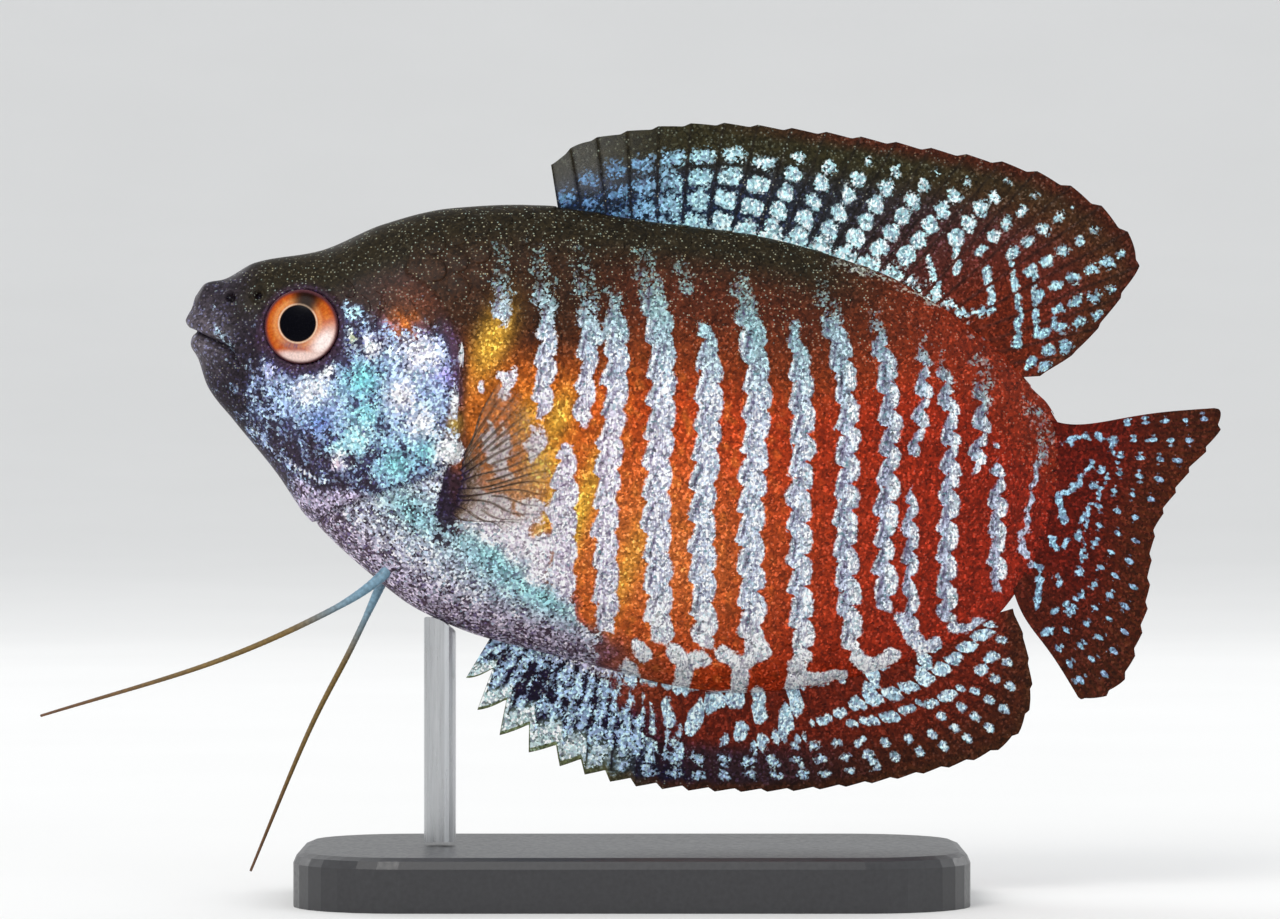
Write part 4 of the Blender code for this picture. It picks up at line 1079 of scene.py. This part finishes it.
def build_anal(finish):
    root_at = median_root(ANAL_FIRST_X, ANAL_SPINE_PITCH, ANAL_SPINES, ANAL_SOFT_PITCH, belly, FIN_SUNK)
    edge_at = median_edge(ANAL_EDGE, anal_share)
    rear = spot_rows(root_at, edge_at, ANAL_RAYS, lambda k: 1.3, lambda k, share: 0.26,
                     lambda k: 1.9, lambda k: 0.0 if k < 16 else (0.34 if k < 20 else 0.55),
                     lambda k: (0.0, 0.14))
    dashes = spot_rows(root_at, edge_at, ANAL_RAYS, lambda k: 1.15, lambda k, share: 0.26,
                       lambda k: 1.2, lambda k: 0.42 if 4 < k < 17 else 0.0, lambda k: (0.12, 0.0))

    def colour_at(place, share, grid, ridge):
        coat = Coat(grid[..., 0], grid[..., 2], (96, 27, 11), (170, 200, 216))
        x, z = coat.x, coat.z
        coat.tint((56, 26, 11), 0.85 * ramp(0.45, 0.85, share))
        front = ramp(2.0, -2.0, place - 5.5 - 5.0 * share + 0.6 * wobble(x, z, 2.4, 41))
        middle = ramp(18, 10, place) * ramp(0.5, 0.68, share) * (1 - front)
        tips = ramp(0.74, 0.88, share + 0.04 * (3 - place)) * ramp(14, 3, place)
        margin = ramp(0.9, 0.97, share) * ramp(3, 9, place)
        coat.tint((15, 17, 40), 0.95 * front)
        coat.tint((34, 26, 36), 0.85 * middle)
        coat.tint((104, 112, 76), 0.9 * tips)
        coat.tint((60, 30, 13), 0.85 * margin)
        pale = ramp(0.66, 0.8, share) * ramp(0.97, 0.88, share) * ramp(7.5, 4, place) * (1 - ridge)
        coat.tint((142, 162, 150), 0.8 * pale)
        coat.gleam((152, 176, 210), 0.9 * np.maximum(front, middle))
        coat.gleam((190, 208, 200), 0.8 * np.maximum(tips, pale))
        coat.mark = np.maximum(loose_strokes(LOW_STROKES + ANAL_STROKES, x, z), strokes(rear, x, z))
        coat.add(loose_strokes(dashes, x, z))
        part = np.mod(1.7 * place + 0.9 * share + 0.2 * wobble(x, z, 1.5, 44), 1.0)
        streak = 1.1 * (0.22 - np.abs(part - 0.5)) + 0.16 * wobble(x, z, 1.2, 42) - 0.9 * ramp(0.7, 0.86, share)
        navy = coat.spot(31.2, -21.6, 1.6, 1.6, 0.3)
        coat.add(np.where(front > 0.2, streak + 0.06 - 0.4 * (1 - front) - 0.35 * navy, NO_MARK))
        coat.add_soft(ramp(0.26, 0.02, share) * ramp(13, 8, place), 0.7)
        coat.add_soft(np.where(share < 0.96, tips, 0), 0.72)
        coat.add_soft(np.where(share < 0.94, pale, 0), 0.6)
        coat.gleam((226, 208, 232), coat.spot(35.0, -19.0, 2.4, 0.8))
        coat.add_soft(coat.spot(35.2, -19.1, 2.2, 0.6, -0.2), 0.5)
        coat.mark -= 0.5 * ridge * (1 - front) + 0.5 * margin
        coat.tint((150, 66, 28), 0.7 * coat.spot(37.6, -20.6, 3.0, 1.8) * (1 - front))
        coat.tint((40, 18, 14), 0.3 * ridge)
        coat.mottle(0.18, 0.9, 43)
        coat.ragged = 0.14 + 0.5 * np.maximum(np.maximum(front, middle), tips)
        coat.spark = 0.05 + 0.4 * front
        return coat.values()

    fin_sheet("anal_fin", ANAL_RAYS, root_at, edge_at, colour_at, finish, saw=True, per_ray=14)


def build_caudal(finish):
    outer = smooth_path([(x, 0, z) for x, z in CAUDAL_EDGE])
    last = CAUDAL_RAYS - 1
    root_x = BODY_END - FIN_SUNK

    def root_at(place):
        z = CAUDAL_ROOT_TOP + (CAUDAL_ROOT_BOTTOM - CAUDAL_ROOT_TOP) * place / last
        x = np.full(np.shape(place), root_x)
        return np.stack([x, sway(x), z], axis=-1)

    def edge_at(place):
        spot = outer(place / last)
        inward = np.minimum(place, last - place)
        outward = 1 - np.clip(inward / 1.2, 0, 1)
        pull = 0.1 * (1 - np.sqrt(1 - outward ** 2)) - 0.055 * ramp(3.2, 1.0, inward)
        spot = spot + (root_at(place) - spot) * pull[:, None]
        return np.stack([spot[..., 0], sway(spot[..., 0]), spot[..., 2]], axis=-1)

    def bow(place, step):
        outer_ray = np.abs(2 * place / last - 1) ** 2
        drop = -CAUDAL_SAG * outer_ray * np.sin(math.pi * step) * (1 - step) ** 3
        return np.stack([0 * drop, 0 * drop, drop], axis=-1)

    spots = spot_rows(root_at, edge_at, CAUDAL_RAYS, lambda k: 1.45, lambda k, share: 0.29 + 0.04 * (k % 2),
                      lambda k: 1.5 + 0.4 * (k % 2), lambda k: 0.6, lambda k: (0.16, 0.0))

    def colour_at(place, share, grid, ridge):
        coat = Coat(grid[..., 0], grid[..., 2], (88, 18, 7), (132, 168, 192), 0.1)
        x, z = coat.x, coat.z
        coat.tint((62, 30, 11), 0.8 * ramp(0.4, 0.9, share))
        coat.tint((56, 26, 12), 0.6 * ramp(9, 13, place) + 0.5 * ramp(2.5, 0.5, place) * ramp(0.3, 0.7, share))
        coat.gleam((110, 120, 150), 0.6 * ramp(0.75, 0.95, share))
        chains = loose_strokes(CAUDAL_STROKES, x, z) - 0.08 + 0.2 * wobble(x, z, 0.8, 52)
        coat.mark = np.maximum(chains, loose_strokes(spots, x, z))
        coat.add(strokes(BODY_STROKES[:1], x, z) - 0.1 + 0.22 * wobble(x, z, 0.8, 53))
        coat.mark -= 0.25 * ridge * ramp(0.3, 0.6, share)
        coat.tint((72, 18, 11), 0.4 * ridge)
        coat.mottle(0.16, 0.8, 51)
        return coat.values()

    fin_sheet("caudal_fin", CAUDAL_RAYS, root_at, edge_at, colour_at, finish, bow=bow,
              per_ray=20, rows=96, branches=3)


def build_pectoral(word, side, finish):
    outer = smooth_path([(x, side * out, z) for x, out, z in PECTORAL_EDGE])
    last = PECTORAL_RAYS - 1
    ends = [np.array([PECTORAL_ROOT_X - 0.7, side * (flank(PECTORAL_ROOT_X, z) - 0.5), z])
            for z in (PECTORAL_ROOT_TOP, PECTORAL_ROOT_BOTTOM)]
    middle = outer(0.5) - (ends[0] + ends[1]) / 2
    across = np.cross(middle, ends[1] - ends[0])
    across = across / np.linalg.norm(across)

    def root_at(place):
        return ends[0] + (ends[1] - ends[0]) * (place / last)[:, None]

    def edge_at(place):
        return outer(place / last)

    def bow(place, step):
        curl = 0.6 * np.sin(math.pi * step) * np.sin(place * 1.7 + 1.0 + 5.5 * step)
        return curl[..., None] * np.array([0.5, 0.0, 0.7])

    def colour_at(place, share, grid, ridge):
        coat = Coat(grid[..., 0], grid[..., 2], (168, 138, 108), SILVER_WHITE)
        dark = ramp(0.3, 0.05, share)
        coat.tint((52, 36, 28), np.clip(1.15 * ridge, 0, 1))
        coat.tint((38, 26, 44), dark)
        haze = 0.15 + 0.06 * wobble(coat.x, coat.z, 2.0, 55)
        coat.clear = np.clip(haze + 0.72 * ridge * ramp(1.1, 0.4, share) + 0.9 * dark, 0, 1) * ramp(1.0, 0.8, share)
        return coat.values()

    fin_sheet("pectoral_fin_" + word, PECTORAL_RAYS, root_at, edge_at, colour_at, finish, bow=bow,
              across=across, per_ray=20, rows=70, branches=2, ray_half=0.08)


def build_eye(word, side, finish):
    """Eye with a flat-domed iris and a black pupil, turned a little forward as the head narrows."""
    rings, turns = 72, 144
    radius = EYE_RADIUS * (np.arange(1, rings + 1) / rings)[:, None] * np.ones(turns)
    angle = np.ones(rings)[:, None] * np.arange(turns) * 2 * math.pi / turns
    share = radius / EYE_RADIUS
    dome = EYE_BULGE * np.sqrt(np.clip(1 - share ** 2, 0, 1))
    local_x, local_z = radius * np.cos(angle), radius * np.sin(angle)
    out = EYE_RIM_OUT + dome + local_x * math.tan(EYE_YAW) * np.ones_like(dome)
    front = np.stack([EYE_X + local_x, side * out, EYE_Z + local_z], axis=-1).reshape(-1, 3)
    apex = np.array([[EYE_X, side * (EYE_RIM_OUT + EYE_BULGE), EYE_Z]])
    rear = front[-turns:] + [0, -side * 1.4, 0]
    base = np.array([[EYE_X, side * (EYE_RIM_OUT - 1.6), EYE_Z]])
    points = np.vstack([front, rear, apex, base])
    count = rings * turns
    faces = np.vstack([grid_faces(rings + 1, turns, wrap=True), fan_faces(np.arange(turns)[::-1], count + turns),
                       fan_faces(np.arange(count, count + turns), count + turns + 1)])
    if side < 0:
        faces = faces[:, ::-1]
    x = np.concatenate([local_x.ravel(), local_x[-1], [0, 0]])
    z = np.concatenate([local_z.ravel(), local_z[-1], [0, 0]])
    colour = iris_colour(x, z)
    made = make_object("eye_ball_" + word, to_world(points), faces, finish, {"ground": colour})
    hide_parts("eye_" + word)


def iris_colour(x, z):
    """Black pupil, thin pale ring, orange iris, dark gap above, pale pink below and a painted glare at lower right.
    """
    off_x, off_z = x + 0.28, z - 0.18
    pupil = np.hypot(off_x, off_z)
    turn = np.arctan2(z, x)
    rim = np.hypot(x, z)
    ring = 0.5 + 0.25 * np.sin(turn * 41 + 3 * np.sin(turn * 7)) + 0.25 * wobble(x, z, 0.5, 61)
    colour = np.broadcast_to(linear((176, 70, 20)), x.shape + (3,))
    colour = blend(colour, linear((216, 128, 44)), 0.7 * ring * ramp(1.5, 2.0, rim) * ramp(2.7, 2.2, rim))
    colour = blend(colour, linear((226, 158, 96)), 0.6 * np.exp(-((pupil - 1.7) / 0.2) ** 2))
    # Painted reflection: the pale patch to the lower right stands in for the lamp's glare on the eye; the pale band
    # below is iris colour.
    right = blob(x, z, 1.9, -0.8, 1.3, 0.66, 1.1)
    below = ramp(-1.6, -2.1, z - 0.22 * x) * ramp(-1.9, -0.6, x)
    pale = np.clip(np.maximum(1.25 * right, 0.75 * below), 0, 1)
    colour = blend(colour, linear((246, 228, 222)), pale)
    colour = blend(colour, linear((98, 76, 108)), 0.75 * blob(x, z, -0.35, -1.5, 0.75, 0.33) * (0.4 + ring))
    gap = np.exp(-(np.abs(turn - math.pi / 2 - 0.02) / 0.52) ** 4) * ramp(1.25, 1.45, rim)
    colour = blend(colour, linear((10, 6, 5)), 0.98 * gap)
    colour = blend(colour, linear((222, 190, 160)), np.exp(-((pupil - 1.43) / 0.07) ** 2) * (1 - 0.6 * gap))
    colour = blend(colour, linear((3, 3, 9)), ramp(1.4, 1.34, pupil))
    return blend(colour, linear((84, 46, 52)), ramp(2.46, 2.72, rim))


def build_feeler(word, line, finish):
    """Long thin pelvic thread, silver-blue at its root and brown to the tip."""
    path = smooth_path(line)
    share = (np.arange(FEELER_RINGS) / (FEELER_RINGS - 1)) * 0.999
    centre = path(share)
    along = np.gradient(centre, axis=0)
    along /= np.linalg.norm(along, axis=-1, keepdims=True)
    side = np.cross(along, [0, 1, 0])
    side /= np.linalg.norm(side, axis=-1, keepdims=True)
    up = np.cross(side, along)
    radius = 0.25 + 0.24 * np.clip(1 - share / 0.2, 0, 1) - 0.15 * np.clip(share / 1.0, 0, 1) ** 1.5
    radius = radius * (1 + 0.03 * np.sin(share * 420))
    turn = np.arange(FEELER_SIDES) * 2 * math.pi / FEELER_SIDES
    ring = np.cos(turn)[None, :, None] * side[:, None] + np.sin(turn)[None, :, None] * up[:, None]
    points = (centre[:, None] + ring * radius[:, None, None]).reshape(-1, 3)
    count = len(points)
    faces = np.vstack([grid_faces(FEELER_RINGS, FEELER_SIDES, wrap=True),
                       fan_faces(np.arange(FEELER_SIDES)[::-1], count),
                       fan_faces(np.arange(count - FEELER_SIDES, count), count + 1)])
    points = np.vstack([points, path(0.0), path(1.0)])
    spread = np.concatenate([np.repeat(share, FEELER_SIDES), [0, 1]])
    colour = np.broadcast_to(linear((112, 146, 166)), spread.shape + (3,))
    colour = blend(colour, linear((112, 88, 40)), ramp(0.12, 0.36, spread))
    colour = blend(colour, linear((92, 58, 26)), ramp(0.5, 1.0, spread))
    colour = colour * (1 + 0.1 * np.sin(spread * 420))[:, None]
    made = make_object("feeler_" + word, to_world(points), faces, finish, {"ground": colour})
    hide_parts("pelvic_feeler_" + word)


class Shader:
    """Small helper that adds nodes to one material."""

    def __init__(self, name):
        self.material = bpy.data.materials.new(name)
        self.material.use_nodes = True
        self.tree = self.material.node_tree
        self.surface = self.tree.nodes["Principled BSDF"]

    def node(self, kind, **settings):
        made = self.tree.nodes.new(kind)
        for key, value in settings.items():
            setattr(made, key, value)
        return made

    def link(self, source, target):
        self.tree.links.new(source, target)

    def attribute(self, name):
        return self.node("ShaderNodeAttribute", attribute_name=name)

    def math(self, operation, first, second, clamp=False):
        made = self.node("ShaderNodeMath", operation=operation, use_clamp=clamp)
        for socket, value in zip(made.inputs, (first, second)):
            if isinstance(value, (int, float)):
                socket.default_value = value
            else:
                self.link(value, socket)
        return made.outputs[0]

    def mix(self, factor, first, second, blend_type="MIX"):
        made = self.node("ShaderNodeMix", data_type="RGBA", blend_type=blend_type, clamp_result=True)
        for socket, value in ((made.inputs["Factor"], factor), (made.inputs["A"], first), (made.inputs["B"], second)):
            if isinstance(value, (int, float)):
                socket.default_value = value
            elif isinstance(value, tuple):
                socket.default_value = (*value, 1.0)
            else:
                self.link(value, socket)
        return made.outputs["Result"]

    def range(self, value, low, high, to_low=0.0, to_high=1.0):
        made = self.node("ShaderNodeMapRange")
        self.link(value, made.inputs["Value"])
        for key, number in (("From Min", low), ("From Max", high), ("To Min", to_low), ("To Max", to_high)):
            made.inputs[key].default_value = number
        return made.outputs["Result"]

    def place(self):
        return self.node("ShaderNodeTexCoord").outputs["Object"]

    def noise(self, size, detail=2.0):
        made = self.node("ShaderNodeTexNoise")
        self.link(self.place(), made.inputs["Vector"])
        made.inputs["Scale"].default_value = 1 / (size * MM)
        made.inputs["Detail"].default_value = detail
        return made.outputs["Fac"]

    def fibres(self, size, length):
        """Noise drawn out upward."""
        stretch = self.node("ShaderNodeMapping")
        stretch.inputs["Scale"].default_value = (1.0, 0.4, size / length)
        self.link(self.place(), stretch.inputs["Vector"])
        made = self.node("ShaderNodeTexNoise")
        self.link(stretch.outputs["Vector"], made.inputs["Vector"])
        made.inputs["Scale"].default_value = 1 / (size * MM)
        made.inputs["Detail"].default_value = 2.0
        made.inputs["Distortion"].default_value = 0.5
        return made.outputs["Fac"]

    def cells(self, size):
        made = self.node("ShaderNodeTexVoronoi")
        self.link(self.place(), made.inputs["Vector"])
        made.inputs["Scale"].default_value = 1 / (size * MM)
        return made.outputs["Color"], made.outputs["Distance"]

    def bump(self, height, strength, distance):
        made = self.node("ShaderNodeBump")
        made.inputs["Strength"].default_value = strength
        made.inputs["Distance"].default_value = distance * MM
        self.link(height, made.inputs["Height"])
        self.link(made.outputs["Normal"], self.surface.inputs["Normal"])


def pearl_finish(name, gloss, coat, clear=False):
    """Painted skin: ground and silver colours, told apart by a mark with a ragged edge, with a fine grain of random
    tone and painted glints.
    """
    shader = Shader(name)
    grain, grain_distance = shader.cells(TONE_AND_GLINT_GRAIN)
    split = shader.node("ShaderNodeSeparateColor")
    shader.link(grain, split.inputs["Color"])
    bright, hue, glint = split.outputs
    rough = shader.noise(0.3, 3.0)
    clump = shader.range(shader.noise(0.8, 2.0), 0.3, 0.7, -0.28, 0.28)
    ragged = shader.attribute("ragged").outputs["Fac"]
    scatter = shader.math("MULTIPLY", shader.math("ADD", shader.range(bright, 0, 1, -0.42, 0.42), clump), ragged)
    shift = shader.math("ADD", shader.range(rough, 0.3, 0.7, -0.08, 0.08), scatter)
    edge = shader.math("ADD", shader.attribute("mark").outputs["Fac"], shift)
    softness = shader.math("ADD", shader.math("MULTIPLY", ragged, 0.2), 0.05)
    mask = shader.range(shader.math("DIVIDE", edge, softness), -1, 1)
    shine = shader.attribute("shine").outputs["Color"]
    patchy = shader.range(shader.noise(0.55, 2.0), 0.3, 0.7, 0.62, 1.35)
    silver = shader.mix(1.0, shine, shader.math("MULTIPLY", shader.range(bright, 0, 1, 0.3, 1.5), patchy),
                        "MULTIPLY")
    silver = shader.mix(shader.range(hue, 0.6, 0.95, 0.0, 0.45), silver, (0.12, 0.09, 0.24))
    silver = shader.mix(shader.range(hue, 0.3, 0.0, 0.0, 0.35), silver, (0.16, 0.5, 0.55))
    # Painted glints: a share of the silver's grain cells is painted SPARKLE_GAIN times brighter, standing in for the
    # lamps' sparkle on the scales.
    flash = shader.mix(1.0, shine, (SPARKLE_GAIN, SPARKLE_GAIN, SPARKLE_GAIN), "MULTIPLY")
    silver = shader.mix(shader.range(glint, 0.64, 0.78, 0.0, 0.9), silver, flash)
    vein = shader.range(shader.math("ABSOLUTE", shader.math("SUBTRACT", shader.fibres(0.32, 1.4), 0.5), 0.0),
                        0.01, 0.04, 0.6, 0.0)
    vein = shader.math("MULTIPLY", vein, shader.range(ragged, 0.1, 0.7, 1.0, 0.25))
    silver = shader.mix(vein, silver, shader.mix(1.0, shine, (0.26, 0.18, 0.3), "MULTIPLY"))
    tone = shader.math("MULTIPLY", shader.range(bright, 0, 1, 0.45, 1.26), shader.range(rough, 0.3, 0.7, 0.66, 1.26))
    # Painted glints on the ground: bright cells are lifted and paled, and, as far as the spark attribute allows,
    # small gold and green specks stand in for the lamps' sparkle.
    tone = shader.math("ADD", tone, shader.range(glint, 0.78, 0.9, 0.0, 0.8))
    ground = shader.attribute("ground").outputs["Color"]
    pale = shader.mix(0.22, ground, shader.mix(1.0, ground, (1.6, 2.4, 5.0), "MULTIPLY"))
    ground = shader.mix(shader.range(glint, 0.78, 0.9), ground, pale)
    ground = shader.mix(1.0, ground, tone, "MULTIPLY")
    point = shader.math("MULTIPLY", shader.range(glint, 0.76, 0.84), shader.range(grain_distance, 0.38, 0.22))
    point = shader.math("MULTIPLY", point, shader.attribute("spark").outputs["Fac"])
    speck = shader.mix(hue, (0.38, 0.33, 0.19), (0.27, 0.38, 0.34))
    ground = shader.mix(point, ground, speck)
    shader.link(shader.mix(mask, ground, silver), shader.surface.inputs["Base Color"])
    shader.link(shader.range(mask, 0, 1, gloss, gloss - 0.08), shader.surface.inputs["Roughness"])
    shader.link(shader.range(mask, 0, 1, 0.0, 0.25), shader.surface.inputs["Metallic"])
    shader.surface.inputs["Specular IOR Level"].default_value = 0.08
    shader.surface.inputs["Coat Weight"].default_value = coat
    shader.surface.inputs["Coat Roughness"].default_value = 0.22
    if clear:
        shader.link(shader.attribute("clear").outputs["Fac"], shader.surface.inputs["Alpha"])
    shader.bump(shader.math("MULTIPLY", grain_distance, rough), 0.35, 0.03)
    return shader.material


def eye_finish():
    shader = Shader("eye_gloss")
    speck = shader.noise(0.16, 3.0)
    colour = shader.mix(1.0, shader.attribute("ground").outputs["Color"], shader.range(speck, 0.25, 0.75, 0.8, 1.18),
                        "MULTIPLY")
    shader.link(colour, shader.surface.inputs["Base Color"])
    shader.link(shader.range(speck, 0.3, 0.7, 0.2, 0.3), shader.surface.inputs["Roughness"])
    shader.surface.inputs["Specular IOR Level"].default_value = 0.04
    shader.surface.inputs["Coat Weight"].default_value = 0.015
    shader.surface.inputs["Coat Roughness"].default_value = 0.03
    return shader.material


def feeler_finish():
    shader = Shader("feeler_thread")
    speck = shader.noise(0.3, 3.0)
    colour = shader.mix(1.0, shader.attribute("ground").outputs["Color"], shader.range(speck, 0.3, 0.7, 0.75, 1.25),
                        "MULTIPLY")
    shader.link(colour, shader.surface.inputs["Base Color"])
    shader.link(shader.range(speck, 0.3, 0.7, 0.36, 0.5), shader.surface.inputs["Roughness"])
    shader.bump(speck, 0.3, 0.03)
    return shader.material


def stand_finish(name, dark, pale, roughness, metallic, grain, stretch):
    """Stand material with a fine grain in colour, gloss and height."""
    shader = Shader(name)
    place = shader.node("ShaderNodeMapping")
    place.inputs["Scale"].default_value = stretch
    shader.link(shader.place(), place.inputs["Vector"])
    noise = shader.node("ShaderNodeTexNoise")
    noise.inputs["Scale"].default_value = 1 / (grain * MM)
    noise.inputs["Detail"].default_value = 4.0
    shader.link(place.outputs["Vector"], noise.inputs["Vector"])
    shader.link(shader.mix(noise.outputs["Fac"], dark, pale), shader.surface.inputs["Base Color"])
    shader.link(shader.range(noise.outputs["Fac"], 0.3, 0.7, roughness - 0.06, roughness + 0.06),
                shader.surface.inputs["Roughness"])
    shader.surface.inputs["Metallic"].default_value = metallic
    shader.bump(noise.outputs["Fac"], 0.15, 0.03)
    return shader.material


def build_floor():
    """Large pale disc that curves up far away, round on all sides."""
    shader = Shader("studio_floor")
    shader.link(shader.mix(shader.noise(60.0, 2.0), (0.82, 0.815, 0.805), (0.86, 0.855, 0.845)),
                shader.surface.inputs["Base Color"])
    shader.surface.inputs["Roughness"].default_value = 0.8
    profile = [(0.0, 0.0), (0.3, 0.0), (0.7, 0.0), (0.95, 0.01), (1.2, 0.04), (1.45, 0.11), (1.7, 0.24),
               (1.9, 0.42), (2.05, 0.65)]
    turns = 96
    rings = [[(r * math.cos(a), r * math.sin(a), z) for a in np.arange(turns) * 2 * math.pi / turns]
             for r, z in profile[1:]]
    points = np.vstack([np.array(rings).reshape(-1, 3), [[0, 0, 0]]])
    faces = np.vstack([grid_faces(len(rings), turns, wrap=True), fan_faces(np.arange(turns)[::-1], len(points) - 1)])
    mesh = bpy.data.meshes.new("floor")
    mesh.from_pydata(points.tolist(), [], faces.tolist())
    mesh.shade_smooth()
    mesh.materials.append(shader.material)
    floor = bpy.data.objects.new("floor", mesh)
    bpy.context.collection.objects.link(floor)


def area_light(name, place, target, size, watts, colour):
    data = bpy.data.lights.new(name, "AREA")
    data.shape = "DISK"
    data.size = size
    data.energy = watts
    data.color = colour
    light = bpy.data.objects.new(name, data)
    bpy.context.collection.objects.link(light)
    light.location = place
    light.rotation_euler = (Vector(target) - Vector(place)).to_track_quat("-Z", "Y").to_euler()


def build_light():
    middle = (0.0, 0.0, 0.035)
    area_light("key", (-0.25, -0.55, 0.5), middle, 0.35, 2.1, (1.0, 0.98, 0.95))
    area_light("fill", (0.5, -0.4, 0.25), middle, 0.5, 0.5, (0.95, 0.98, 1.0))
    area_light("rear_left", (-0.45, 0.5, 0.4), middle, 0.45, 1.1, (1.0, 1.0, 1.0))
    area_light("rear_right", (0.45, 0.5, 0.35), middle, 0.45, 1.0, (1.0, 1.0, 1.0))
    world = bpy.data.worlds.new("studio")
    world.use_nodes = True
    world.node_tree.nodes["Background"].inputs["Color"].default_value = (0.86, 0.88, 0.9, 1.0)
    world.node_tree.nodes["Background"].inputs["Strength"].default_value = 0.92
    bpy.context.scene.world = world
    bpy.context.scene.view_settings.view_transform = "Standard"


def build_camera():
    data = bpy.data.cameras.new("photo_camera")
    data.lens = CAMERA_LENS
    data.sensor_width = CAMERA_SENSOR
    data.clip_start = 0.01
    data.clip_end = 20.0
    camera = bpy.data.objects.new("photo_camera", data)
    bpy.context.collection.objects.link(camera)
    camera.location = CAMERA_PLACE
    camera.rotation_euler = (math.pi / 2, 0, 0)
    bpy.context.scene.camera = camera


def finish_stand():
    """The stand's own solids stay and get their finish."""
    black = stand_finish("stand_satin_black", (0.018, 0.018, 0.02), (0.04, 0.04, 0.044), 0.36, 0.0, 0.35, (1, 1, 1))
    steel = stand_finish("stand_brushed_steel", (0.36, 0.37, 0.38), (0.62, 0.63, 0.65), 0.3, 1.0, 0.2, (1, 1, 0.05))
    for name, finish in (("stand_base", black), ("stand_rod", steel)):
        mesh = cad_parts[name].data
        mesh.materials.clear()
        mesh.materials.append(finish)


def build():
    skin_finish = pearl_finish("fish_skin", 0.42, 0.04)
    fin_finish = pearl_finish("spotted_fin", 0.48, 0.0, clear=True)
    build_skin(skin_finish)
    for word, side in (("left", -1), ("right", 1)):
        build_scales(word, side, skin_finish)
        build_eye(word, side, bpy.data.materials.get("eye_gloss") or eye_finish())
        build_pectoral(word, side, fin_finish)
    build_dorsal(fin_finish)
    build_anal(fin_finish)
    build_caudal(fin_finish)
    thread = feeler_finish()
    build_feeler("left", FEELER_LEFT, thread)
    build_feeler("right", FEELER_RIGHT, thread)
    finish_stand()
    build_floor()
    build_light()
    build_camera()


build()
